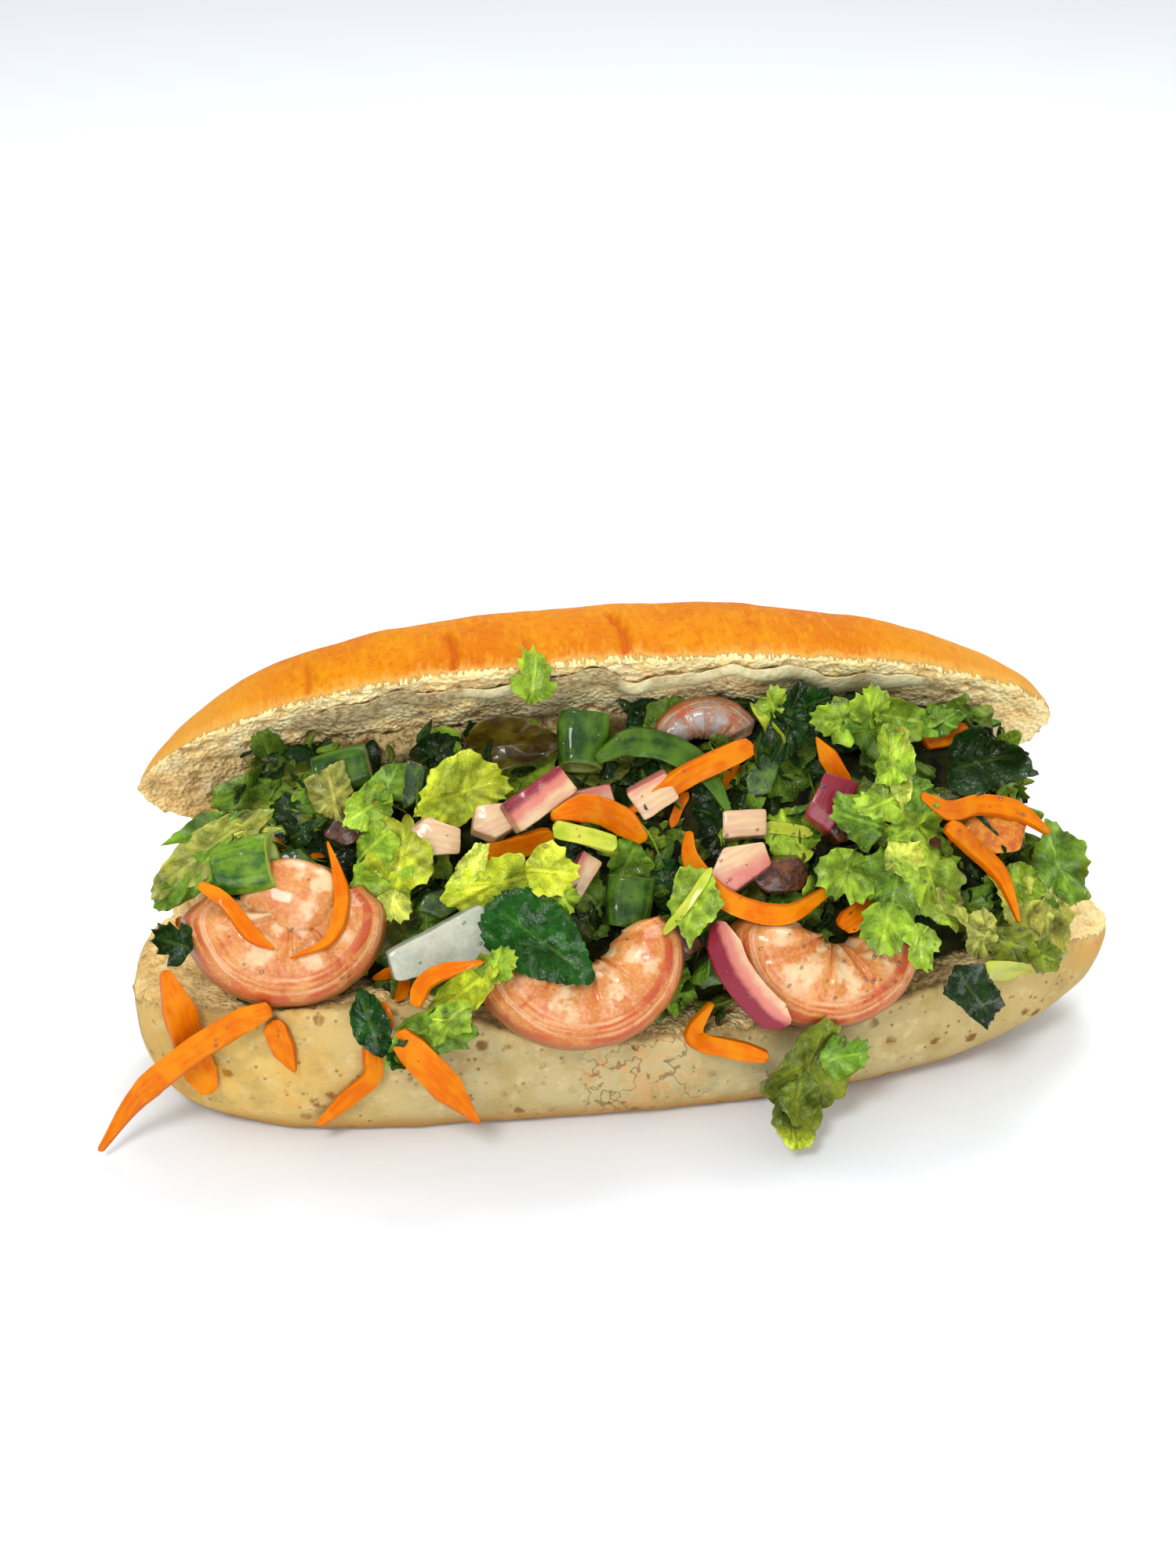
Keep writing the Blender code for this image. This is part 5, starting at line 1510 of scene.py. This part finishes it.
# Carrot strips: node, width, share of it at both ends, path
CARROTS = [
    ("carrot_chip", 3.8, (0.1, 0.6), ((40.3, 63.0), (43.4, 57.2), (46.5, 51.3))),
    ("carrot_top", 5.0, (0.1, 0.8), ((-3.1, 49.0), (3.6, 52.2), (12.0, 56.8), (26.0, 62.1))),
    ("carrot_big", 6.2, (0.3, 0.4), ((-21.1, 49.0), (-13.3, 50.4), (-5.7, 48.0), (0.6, 42.8))),
    ("carrot_mid", 4.8, (0.6, 0.7), ((-37.5, 41.5), (-29.9, 42.6), (-20.1, 45.1))),
    ("carrot_hook", 3.1, (0.5, 0.15),
     ((-97.0, 39.9), (-91.7, 35.7), (-86.7, 28.4), (-82.1, 25.0))),
    ("carrot_curl", 3.1, (0.15, 0.1),
     ((-69.3, 47.1), (-67.5, 40.0), (-67.2, 33.0), (-70.5, 26.0), (-79.0, 22.8))),
    ("carrot_ring", 4.6, (0.3, 0.35),
     ((9.7, 44.0), (9.6, 38.0), (13.4, 31.0), (20.4, 26.2), (29.8, 24.6), (40.7, 29.5))),
    ("carrot_right", 4.8, (0.6, 0.3), ((41.3, 20.6), (47.2, 24.2), (53.2, 29.3))),
    ("carrot_loop", 4.4, (0.4, 0.3),
     ((59.8, 48.3), (67.0, 44.5), (75.0, 45.4), (84.0, 43.5), (91.0, 38.2))),
    ("carrot_loop_end", 4.0, (0.7, 0.15),
     ((66.0, 41.5), (72.0, 37.0), (78.5, 30.3), (81.6, 18.8))),
    ("carrot_wide", 7.2, (0.3, 0.55),
     ((-105.6, 22.0), (-103.0, 12.0), (-100.8, 2.0), (-98.0, -6.0))),
    ("carrot_short", 5.0, (0.6, 0.12), ((-83.6, 9.5), (-81.8, 4.1), (-79.3, -2.2))),
    ("carrot_long", 5.6, (0.6, 0.2),
     ((-83.7, 12.4), (-92.0, 9.0), (-104.0, 2.0), (-114.0, -6.0), (-122.9, -17.1))),
    ("carrot_small_curl", 3.4, (0.2, 0.6),
     ((-38.6, 19.4), (-46.2, 18.0), (-51.2, 15.7), (-53.6, 11.0))),
    ("carrot_low", 4.0, (0.6, 0.35),
     ((-63.1, 2.6), (-62.6, -3.9), (-67.4, -8.6), (-75.1, -15.0))),
    ("carrot_taper", 6.8, (0.6, 0.08),
     ((-57.6, 5.4), (-51.5, -2.3), (-46.2, -8.9), (-40.7, -16.0))),
    ("carrot_tick", 4.2, (0.2, 0.6),
     ((12.6, 6.0), (8.6, 0.4), (10.0, -2.6), (16.0, -4.2), (23.1, -6.4))),
]

# Shrimps: node, x, w, radius of the curl, thickness, where the curl starts and how far it goes
SHRIMPS = [
    ("shrimp_back", 16.6, 61.5, 9.5, 5.5, 20, 140),
    ("shrimp_left", -77.7, 33.0, 12.9, 11.5, 165, 212),
    ("shrimp_middle", -15.5, 20.5, 15.0, 10.7, 184, 196),
    ("shrimp_right", 40.0, 19.0, 13.2, 10.9, 156, 212),
]
# Soft inner side of the most tightly curled one: node, x, w and depth, size
BELLY = ("shrimp_left", (-77.2, 34.0, -7.0), (11.5, 10.0, 4.6))
# Scallions: node, x, w, length, outer and inner radius, turn; some are of a darker green
DARK_GREENS = ("scallion_back", "scallion_far_left", "scallion_middle")
TUBES = [
    ("scallion_far_left", -64.5, 62.5, 12.0, 4.8, 3.0, 10),
    ("scallion_back", -11.2, 65.5, 11.5, 5.4, 3.4, 80),
    ("scallion_middle", -4.0, 29.5, 11.0, 5.0, 3.2, 80),
    ("scallion_left", -86.8, 43.0, 12.0, 5.6, 3.4, 8),
]
# Onion pieces: node, x, w, size, turn, corners, how purple their near and far sides are
ONIONS = [
    ("onion_pale", -32.8, 49.5, (10.5, 8.5, 5), 20, 5, (0.0, 0.25)),
    ("onion_red", -22.8, 53.4, (14, 8, 4.5), 35, 4, (0.1, 1.0)),
    ("onion_right", 41.5, 48.5, (13, 8.5, 4.5), 55, 4, (0.9, 1.1)),
    ("onion_cream", -45.4, 46.0, (12.5, 9, 5), -15, 5, (0.0, 0.05)),
    ("onion_big", 20.2, 35.6, (15, 11, 6), 20, 5, (0.75, 0.1)),
]

# Corners of the chips of each kind
CHIP_CORNERS = {"onion": 4, "greens": 5, "meat": 6, "glazed": 6, "carrot": 4}

# Single strips: the onion's width and the paths of all three
ONION_WIDTH = 7.0
ONION_SLICE = ((13.6, 24.0), (16.0, 14.0), (21.5, 5.5), (27.0, 0.5))
GREEN_STRIP = ((-9.3, 61.1), (-1.0, 64.6), (8.0, 62.8), (15.5, 57.0), (20.1, 46.8))
GREEN_STEM = ((-21.0, 46.6), (-14.0, 44.4), (-7.2, 41.9))

# Small pieces that lie on the chopped filling: what, x, w, size, turn
SALAD_PIECES = [
    ("onion", -86.0, 47.0, (12, 6, 5), 20), ("greens", -76.0, 42.0, (10, 7, 6), -30),
    ("meat", -63.0, 50.0, (13, 7, 5), 10), ("greens", -50.0, 59.0, (11, 7, 6), 70),
    ("greens", -45.0, 32.0, (12, 7, 5), 15), ("meat", -22.0, 30.0, (11, 7, 6), 50),
    ("onion", -12.0, 52.0, (12, 6, 5), 10), ("onion", 2.5, 51.6, (11, 7, 5), 25),
    ("meat", 6.0, 20.0, (12, 8, 6), -15), ("greens", 15.0, 14.0, (13, 7, 6), 40),
    ("meat", 30.0, 33.0, (14, 8, 6), 0), ("greens", 28.0, 55.0, (11, 7, 5), 60),
    ("onion", 23.0, 45.0, (10, 6, 5), 0), ("meat", 44.0, 44.0, (12, 7, 6), -40),
    ("meat", 62.0, 36.0, (12, 7, 5), 20), ("glazed", 79.0, 39.0, (16, 11, 7), 10),
    ("onion", -13.7, 36.2, (11, 5, 4), 60), ("carrot", 72.5, 62.0, (12, 5, 4), 5),
]
SALAD_LEAVES = [
    (-85.0, 38.0, (19, 15), 200, "mid"), (-78.0, 55.0, (20, 15), 150, "mid"),
    (-40.0, 62.0, (20, 15), 30, "dark"), (2.0, 60.0, (20, 14), 200, "dark"),
    (32.0, 62.0, (21, 16), 10, "dark"), (-3.0, 38.0, (17, 14), 60, "mid"),
    (86.0, 47.0, (20, 15), 300, "mid"), (79.0, 18.0, (20, 14), 340, "olive"),
    (34.0, 43.0, (17, 15), 120, "fresh"), (5.0, 11.0, (17, 14), 300, "mid"),
]

# Numbers of scattered things: scraps all over, scraps at the ends, loose leaves and drops
SCRAPS = 330
END_SCRAPS = 90
UNDER_LEAVES = 118
DROPS = 320

# Where they lie: loose leaves along x and at the back of the mouth; drops along x, half of them
# around a place with a spread, and up the mouth; sizes of the drops
LOOSE_ALONG = (-92.0, 88.0)
LOOSE_BACK = (57.0, 69.0)
DROPS_ALONG = (-98.0, 98.0)
DROPS_THICK = (58.0, 20.0)
DROPS_UP = (4.0, 68.0)
DROP_SIZES = (0.2, 0.42)

# Greens of the scattered leaves and scraps, and the painted shade that darkens their colour under
# the others
LOOSE_GREENS = ("mid", "mid", "fresh", "deep", "dark", "dark", "olive")
SCRAP_GREENS = ("mid", "dark", "fresh", "deep", "olive", "mid", "dark")
UNDER_SHADE = 0.70

# Thin strips on top of the rest: what, width, path
SHREDS = [
    ("carrot", 2.2, ((-87.2, 51.1), (-80.5, 49.3), (-77.6, 46.2), (-69.6, 44.0))),
    ("carrot", 2.2, ((11.8, 52.9), (9.4, 49.5), (7.4, 45.1))),
    ("carrot", 2.0, ((25.0, 58.0), (21.5, 55.6), (19.5, 53.0))),
    ("carrot", 2.6, ((-61.3, 16.6), (-55.8, 17.7), (-54.8, 14.4), (-57.0, 11.5))),
    ("carrot", 2.4, ((-60.0, 12.0), (-59.0, 7.5), (-60.5, 3.0))),
    ("carrot", 3.0, ((-102.5, 33.0), (-100.5, 30.8), (-98.6, 29.2))),
    ("carrot", 2.4, ((-58.4, 56.0), (-56.4, 52.5), (-55.6, 49.5))),
    ("stem", 2.0, ((12.5, 35.7), (7.2, 28.8), (1.1, 22.0))),
    ("stem", 2.8, ((27.6, 44.1), (33.0, 43.2), (39.1, 41.6))),
    ("stem", 2.8, ((27.7, 33.3), (33.0, 35.6), (38.5, 37.7))),
    ("stem", 4.6, ((70.9, 9.0), (77.0, 8.4), (84.5, 7.1))),
    ("stem", 2.6, ((-51.5, 52.0), (-51.0, 47.0), (-50.2, 42.0))),
    ("stem", 2.2, ((52.0, 43.0), (57.0, 39.5), (62.0, 37.0))),
    ("stem", 1.8, ((27.0, 72.0), (30.5, 66.5), (33.0, 62.0))),
]


def tinted(colour, shade, spread, rng):
    """One colour for a piece, a little off the given one, times the painted light and shade it is
    given, such as that of its folds.
    """
    k = rng.uniform(1.0 - spread, 1.0 + spread) * np.asarray(shade, float)
    warm = rng.uniform(-0.5, 0.5) * spread
    row = (colour[0] * (1.0 + warm), colour[1], colour[2])
    return np.column_stack([np.clip(row[i] * k, 0.0, 1.0) for i in range(3)] + [np.ones(len(k))])


def loose_leaves(rng, surface, count):
    """Torn leaves lying all over the chopped filling, every fourth one along its back edge."""
    body = Body()
    for i in range(count):
        x = rng.uniform(*LOOSE_ALONG)
        low = 6.0 + max(0.0, x - 60.0) * 0.5
        w = rng.uniform(*LOOSE_BACK) if i % 4 == 0 else rng.uniform(low, 60.0)
        long = rng.uniform(12.0, 24.0)
        kind = rng.choice(("torn", "torn", "fan", "blade"))
        wide = long * rng.uniform(0.5, 0.85)
        verts, faces, place, shade = leaf_sheet(
            kind, x, w, (long, wide), rng.uniform(0.0, 360.0), surface, 400 + i, ruffle=0.9,
            grid=LOOSE_GRID, lift=rng.uniform(-0.8, 0.7), curl=rng.uniform(-1.0, 1.2), tilt=0.12)
        green = GREENS[rng.choice(LOOSE_GREENS)]
        # Painted shade: the loose leaves are darkened as if under the other pieces, on top of the
        # painted light and shade of their folds.
        body.add(verts, faces, leaf=place, tint=tinted(green, UNDER_SHADE * shade, 0.2, rng))
    return body


def scrap(at, normal, rng, size):
    """Torn bit of herb lying against the filling: verts, faces and leaf places."""
    normal = Vector(normal).normalized()
    lean = Vector([rng.uniform(-0.7, 0.7) for _ in range(3)])
    normal = (normal + lean).normalized()
    side = normal.orthogonal().normalized()
    side.rotate(Matrix.Rotation(rng.uniform(0.0, 6.28), 3, normal))
    other = normal.cross(side)
    rings, spokes = SCRAP_GRID
    long = size * rng.uniform(0.8, 1.3)
    wide = size * rng.uniform(0.35, 0.7)
    bend = rng.uniform(-0.07, 0.10)
    lobes = rng.choice((2, 3, 5))
    phase = rng.uniform(0.0, 6.28)
    t = 2.0 * np.pi * np.arange(spokes) / spokes
    r = np.arange(1, rings + 1)[:, None] / rings
    k = r * (0.85 + 0.18 * np.sin(lobes * t + phase))[None, :]
    a = np.append((long * k * np.cos(t)).ravel(), 0.0)
    b = np.append((wide * k * np.sin(t)).ravel(), 0.0)
    share = np.append((r * np.ones(spokes)).ravel(), 0.0)
    flat = np.array(at) + a[:, None] * np.array(side) + b[:, None] * np.array(other)
    sheets = []
    for layer in (0.18, -0.18):
        lift = layer * np.where(share < 1.0, 1.0, 0.4) + bend * a * a - 0.05 * b * b
        sheets.append(flat + lift[:, None] * np.array(normal))
    place = np.column_stack([a, b, share])
    return np.vstack(sheets), disc_faces(rings, spokes), np.vstack([place, place])


def salad_core(node):
    """The inside of the chopped filling: its own solid, shrunk a little and made uneven."""
    core = bpy.data.objects.new("salad_core", node.data.copy())
    bpy.context.scene.collection.objects.link(core)
    core.data.attributes.remove(core.data.attributes["custom_normal"])
    bm = bmesh.new()
    bm.from_mesh(core.data)
    bmesh.ops.remove_doubles(bm, verts=bm.verts[:], dist=0.01 * MM)
    bm.to_mesh(core.data)
    bm.free()
    remeshed(core, CORE_VOXEL)
    edges, count = edge_table(core.data)
    points = mesh_points(core.data)
    points = evened(points, edges, count, CORE_ROUNDS)
    put_points(core.data, points)
    normals = mesh_normals(core.data)
    push = -0.7 - 0.9 * np.abs(fractal(points, 4.0, 3, 3.0))
    put_points(core.data, points + normals * push[:, None])
    return core


def herb_scraps(rng, node, count, ends):
    """Scraps of herb sown over the outside of the chopped filling, some only over its two ends."""
    mesh = node.data
    centres = np.array([p.center[:] for p in mesh.polygons]) / MM
    normals = np.array([p.normal[:] for p in mesh.polygons])
    weight = np.array([p.area for p in mesh.polygons]) * (normals @ OUT > -0.1)
    order = np.cumsum(weight) / weight.sum()
    body = Body()
    tips = np.cumsum(weight * (abs(normals[:, 0]) > 0.6))
    for i in range(count + ends):
        spread = order if i < count else tips / tips[-1]
        k = int(np.searchsorted(spread, rng.random()))
        at = centres[k] + normals[k] * rng.uniform(-0.6, 0.5)
        reach = 2.0 if i < count else 8.0
        jitter = np.array([rng.uniform(-reach, reach) for _ in range(3)])
        at = at + jitter - normals[k] * (jitter @ normals[k])
        size = rng.uniform(2.6, 5.2) if i < count else rng.uniform(4.0, 7.0)
        verts, faces, place = scrap(at, normals[k], rng, size)
        green = GREENS[rng.choice(SCRAP_GREENS)]
        # Painted shade: the scraps are darkened as if under the other pieces.
        tint = tinted(green, np.full(len(verts), UNDER_SHADE), 0.3, rng)
        body.add(verts, faces, leaf=place, tint=tint)
    return body


def build_salad(mats):
    """The chopped filling: its own core, the pieces on it and scraps of herb all over."""
    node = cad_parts["salad"]
    finish_piece(salad_core(node), mats["core"], "salad", "salad")

    surface = Surface("salad")
    rng = random.Random(SEED)
    kinds = {}
    for i, (kind, x, w, size, turn) in enumerate(SALAD_PIECES):
        rise = surface.top(x, w) - size[2] / 2.0 + (2.6 if kind == "onion" else 1.2)
        verts, faces, shape = chip_body(x, w, size, turn, 200 + i, rise=rise,
                                        corners=CHIP_CORNERS[kind])
        body = kinds.setdefault(kind, Body())
        skin = smooth((shape[:, 1] / size[1]) * rng.uniform(0.3, 1.0) + rng.uniform(0.1, 0.5))
        body.add(verts, faces, shape=shape, skin=skin)
    for kind, body in kinds.items():
        slot = {"onion": "onion", "carrot": "carrot"}.get(kind, "salad")
        finish_piece(body.build("salad_" + kind), mats[kind], slot, "salad")

    herbs = Body()
    for i, (x, w, size, turn, green) in enumerate(SALAD_LEAVES):
        verts, faces, place, shade = leaf_sheet("torn", x, w, size, turn, surface, 300 + i,
                                                ruffle=1.1, grid=HERB_GRID, lift=0.5)
        herbs.add(verts, faces, leaf=place, tint=tinted(GREENS[green], shade, 0.12, rng))
    finish_piece(herbs.build("salad_herbs"), mats["leaf"], "herb", "salad")
    leaves = loose_leaves(rng, surface, UNDER_LEAVES)
    finish_piece(leaves.build("salad_leaves"), mats["leaf"], "herb", "salad")
    scraps = herb_scraps(rng, node, SCRAPS, END_SCRAPS)
    finish_piece(scraps.build("salad_scraps"), mats["leaf"], "herb", "salad")

    whole = Surface(*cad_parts)
    shreds = {}
    for kind, width, path in SHREDS:
        verts, faces, shape = strip_body(path, width, whole, 1.3, lift=0.9)
        body = shreds.setdefault(kind, Body())
        if kind == "carrot":
            body.add(verts, faces, shape=shape)
        else:
            body.add(verts, faces, shape=shape, skin=np.zeros(len(verts)))
    finish_piece(shreds["carrot"].build("salad_carrot_shreds"), mats["carrot"], "carrot", "salad")
    finish_piece(shreds["stem"].build("salad_stems"), mats["stem"], "herb", "salad")


def build_filling(mats):
    """Every named piece of the filling, each in the place of its own node."""
    rng = random.Random(SEED + 1)
    for i, (node, kind, x, w, size, turn, green, ruffle, curl, crinkle) in enumerate(LEAVES):
        verts, faces, place, shade = leaf_sheet(kind, x, w, size, turn, Surface(node), i, ruffle,
                                                curl=curl, crinkle=crinkle)
        tint = tinted(GREENS[green], shade, 0.06, rng)
        one_piece(node, mats["leaf"], "herb", verts, faces, leaf=place, tint=tint)
    for i, (node, x, w, leaflets) in enumerate(SPRIGS):
        surface = Surface(node)
        body = Body()
        for k, (kind, dx, dw, size, turn, green, lift) in enumerate(leaflets):
            verts, faces, place, shade = leaf_sheet(
                kind, x + dx, w + dw, size, turn, surface, 500 + 20 * i + k, ruffle=1.3,
                grid=SPRIG_GRID, lift=lift, curl=rng.uniform(-0.8, 1.4), crinkle=1.35)
            tint = tinted(GREENS[green], shade, 0.10, rng)
            if node == LIGHT_TIP[0] and kind == "blade":
                tip = smooth((place[:, 0] - LIGHT_TIP[1]) / 3.0)[:, None]
                tint = tint * (1.0 - tip) + tip * tinted(GREENS[LIGHT_TIP[2]], shade, 0.0, rng)
            body.add(verts, faces, leaf=place, tint=tint)
        finish_piece(body.build(node + "_piece"), mats["leaf"], "herb", node)
    for node, width, ends, path in CARROTS:
        verts, faces, shape = strip_body(path, width, Surface(node), 2.5, ends=ends,
                                         grow=(2.4, 2.4), roll=0.42)
        one_piece(node, mats["carrot"], "carrot", verts, faces, shape=shape)
    for node, *sizes in SHRIMPS:
        body = Body()
        surface = Surface(node)
        verts, faces, shape = shrimp_body(*sizes, surface)
        body.add(verts, faces, shape=shape)
        if node == BELLY[0]:
            rows, tips = ball(BELLY[1], BELLY[2], lump=0.05)
            verts = ring_points(rows, tips)
            verts[:, 2] += surface.high
            around = np.linspace(0.25, 0.75, len(verts))
            shape = np.column_stack([around, np.full(len(verts), -0.3), np.full(len(verts), 0.8)])
            body.add(to_row(verts), loft_faces(len(rows), len(rows[0])), shape=shape)
        look = "shrimp_pale" if node == "shrimp_back" else "shrimp"
        finish_piece(body.build(node + "_piece"), mats[look], "shrimp", node)
    for i, (node, *sizes) in enumerate(TUBES):
        verts, faces, shape, skin = tube_body(*sizes, Surface(node), i)
        look = "scallion_dark" if node in DARK_GREENS else "scallion"
        one_piece(node, mats[look], "scallion", verts, faces, shape=shape, skin=skin)
    for i, (node, x, w, size, turn, corners, tones) in enumerate(ONIONS):
        verts, faces, shape = chip_body(x, w, size, turn, i, Surface(node), corners=corners,
                                        bow=1.0)
        share = shape[:, 1] / size[1] + 0.5
        skin = tones[0] + (tones[1] - tones[0]) * smooth(share)
        one_piece(node, mats["onion"], "onion", verts, faces, shape=shape, skin=skin)
    verts, faces, shape = strip_body(ONION_SLICE, ONION_WIDTH, Surface("onion_slice"), 2.0)
    skin = 0.35 + 1.1 * smooth(-shape[:, 1] / ONION_WIDTH + 0.4)
    one_piece("onion_slice", mats["onion"], "onion", verts, faces, shape=shape, skin=skin)
    for node, path, width, kind, ends in (
            ("green_strip", GREEN_STRIP, 6.6, "scallion_dark", (0.3, 0.15)),
            ("green_stem", GREEN_STEM, 4.0, "stem", (0.8, 0.8))):
        verts, faces, shape = strip_body(path, width, Surface(node), 2.3, ends=ends, roll=0.3,
                                         lift=0.6, grow=(2.5, 2.5))
        skin = np.zeros(len(verts))
        one_piece(node, mats[kind], "scallion", verts, faces, shape=shape, skin=skin)
    verts, faces, shape = chip_body(-45.0, 23.0, (25, 10, 6), 15, 3, Surface("daikon_stick"),
                                    corners=4, bow=0.0, bend=0.0, narrow=0.22)
    one_piece("daikon_stick", mats["daikon"], "daikon", verts, faces, shape=shape)
    verts, faces, place, _ = leaf_sheet("round", -28.4, 66.0, (28, 15), 8,
                                        Surface("pickle_slice"), 77, ruffle=0.3, thick=0.9,
                                        crinkle=0.5)
    one_piece("pickle_slice", mats["pickle"], "pickle", verts, faces, leaf=place)


# Pieces that come to rest on what lies under them, lowest first
SETTLED = (
    "carrot_wide", "carrot_short", "carrot_low", "leaf_strip_left", "carrot_taper", "carrot_long",
    "leaf_dark_left", "leaf_bright", "carrot_small_curl", "carrot_tick", "leaf_hanging",
    "leaf_small_left", "leaf_dark_low", "lettuce_right", "leaf_olive", "leaf_edge_right",
    "carrot_mid", "carrot_big", "green_stem", "carrot_loop_end", "carrot_ring", "cilantro_up",
    "leaf_top_right", "leaf_cup_right",
)

# How far they may move, how far they sink in, and the step from one felt corner to the next
SETTLE_REACH = 40.0
SETTLE_SINK = 0.3
SETTLE_STRIDE = 5


def mouth_tree(obj):
    """Surface of a piece in the frame of the mouth."""
    verts = [Vector(p) for p in to_mouth(mesh_points(obj.data))]
    return BVHTree.FromPolygons(verts, [tuple(p.vertices) for p in obj.data.polygons])


def settle(names):
    """Move pieces inwards, one after the other, until each rests on what is below it."""
    waiting = [name + "_piece" for name in names]
    below = [mouth_tree(obj) for obj in shown(*waiting)]
    for name in waiting:
        obj = bpy.data.objects[name]
        points = mesh_points(obj.data)
        gap = SETTLE_REACH
        for row in to_mouth(points)[::SETTLE_STRIDE]:
            start = Vector(row) - INWARDS
            for tree in below:
                hit = tree.ray_cast(start, INWARDS, gap + 1.0)
                if hit[0] is not None:
                    gap = min(gap, hit[3] - 1.0)
        if 0.0 < gap < SETTLE_REACH:
            put_points(obj.data, points - (gap + SETTLE_SINK) * OUT)
        below.append(mouth_tree(obj))


def build_drops(mats, count):
    """Small drops of juice on the pieces that show."""
    verts = []
    faces = []
    for obj in shown("bread", "mayonnaise"):
        start = len(verts)
        verts += [Vector(p) for p in to_mouth(mesh_points(obj.data))]
        faces += [tuple(v + start for v in p.vertices) for p in obj.data.polygons]
    tree = BVHTree.FromPolygons(verts, faces)
    rng = random.Random(SEED + 5)
    body = Body()
    for _ in range(count):
        x = rng.uniform(*DROPS_ALONG) if rng.random() < 0.5 else rng.gauss(*DROPS_THICK)
        w = rng.uniform(*DROPS_UP)
        hit = tree.ray_cast(Vector((x, w, FAR_OUT)), INWARDS)
        if hit[0] is None or hit[1].z < 0.4:
            continue
        size = rng.uniform(*DROP_SIZES) * (1.7 if rng.random() < 0.12 else 1.0)
        rows, tips = ball((0.0, 0.0, 0.0), (1.0, 1.0, 1.0), rings=8, count=12, lump=0.05)
        ring = ring_points(rows, tips)
        normal = hit[1].normalized()
        side = normal.orthogonal().normalized()
        other = normal.cross(side)
        long = size * rng.uniform(0.9, 1.5)
        local = (np.array(hit[0]) + ring[:, :1] * long * np.array(side)
                 + ring[:, 1:2] * size * np.array(other)
                 + ring[:, 2:3] * size * 0.6 * np.array(normal))
        body.add(to_row(local), loft_faces(len(rows), len(rows[0])))
    finish_piece(body.build("juice_drops"), mats["water"], "salad")


def build_stage():
    """Pale floor, soft light and the camera."""
    mesh = bpy.data.meshes.new("floor")
    corners = [(x * FLOOR, y * FLOOR, 0.0) for x, y in ((-1, -1), (1, -1), (1, 1), (-1, 1))]
    mesh.from_pydata(corners, [], [(0, 1, 2, 3)])
    floor = bpy.data.objects.new("floor", mesh)
    bpy.context.scene.collection.objects.link(floor)
    g = Graph("floor")
    g.set(Base_Color=FLOOR_COLOUR, Roughness=0.9, Specular_IOR_Level=0.1)
    mesh.materials.append(g.material)

    world = bpy.data.worlds.new("studio")
    world.use_nodes = True
    sky = world.node_tree.nodes["Background"].inputs
    sky["Color"].default_value = (1.0, 1.0, 1.0, 1.0)
    sky["Strength"].default_value = WORLD_STRENGTH
    bpy.context.scene.world = world
    for name, at, size, power in LIGHTS:
        data = bpy.data.lights.new(name, "AREA")
        data.energy = power
        data.size = size
        light = bpy.data.objects.new(name, data)
        light.location = at
        light.rotation_euler = Vector(at).to_track_quat("Z", "Y").to_euler()
        bpy.context.scene.collection.objects.link(light)

    az, el = CAMERA_AZIMUTH, CAMERA_ELEVATION
    back = Vector((math.sin(az) * math.cos(el), -math.cos(az) * math.cos(el), math.sin(el)))
    right = Vector((math.cos(az), math.sin(az), 0.0))
    data = bpy.data.cameras.new("camera")
    data.sensor_fit = "VERTICAL"
    data.sensor_height = CAMERA_SENSOR
    data.lens = CAMERA_LENS
    data.clip_start = 0.01
    camera = bpy.data.objects.new("camera", data)
    turn = Matrix((right, back.cross(right), back)).transposed()
    camera.matrix_world = Matrix.Translation(CAMERA_AT) @ turn.to_4x4()
    bpy.context.scene.collection.objects.link(camera)
    bpy.context.scene.camera = camera


def main():
    mats = {
        "bread": bread_material(),
        "mayonnaise": mayonnaise_material(),
        "shrimp": shrimp_material("shrimp", srgb(210, 120, 42), srgb(224, 148, 70),
                                  srgb(244, 212, 164)),
        "shrimp_pale": shrimp_material("shrimp_pale", srgb(164, 104, 62), srgb(160, 138, 124),
                                       srgb(176, 166, 160)),
        "carrot": carrot_material(),
        "leaf": leaf_material(),
        "onion": onion_material(),
        "scallion": stem_material("scallion", srgb(34, 88, 12), srgb(122, 160, 30), 1.8),
        "scallion_dark": stem_material("scallion_dark", srgb(28, 64, 10), srgb(84, 122, 26), 2.4),
        "stem": stem_material("stem", srgb(176, 196, 44), srgb(214, 216, 76), 1.1),
        "daikon": flesh_material("daikon", srgb(206, 208, 186), srgb(182, 188, 168), 3.0),
        "pickle": flesh_material("pickle", srgb(98, 86, 14), srgb(60, 40, 4), 6.0, 0.3, 0.3),
        "core": core_material(),
        "meat": flesh_material("meat", srgb(126, 66, 22), srgb(58, 28, 10), 2.4, 0.3, 0.5, 0.6),
        "glazed": flesh_material("glazed", srgb(252, 164, 34), srgb(212, 98, 6), 2.4, 0.25, 0.5,
                                 0.8),
        "greens": flesh_material("greens", srgb(92, 130, 30), srgb(34, 66, 18), 3.0, 0.4, 0.3, 0.6),
        "water": water_material(),
    }
    finish_piece(build_bread(), mats["bread"], "bread", "bread")
    verts, faces, thick = mayonnaise_rows()
    one_piece("mayonnaise", mats["mayonnaise"], "mayonnaise", verts, faces, thick=thick)
    build_salad(mats)
    build_filling(mats)
    settle(SETTLED)
    build_drops(mats, DROPS)
    build_stage()
    bpy.context.scene.view_settings.view_transform = "Standard"


main()
bpy.context.view_layer.update()
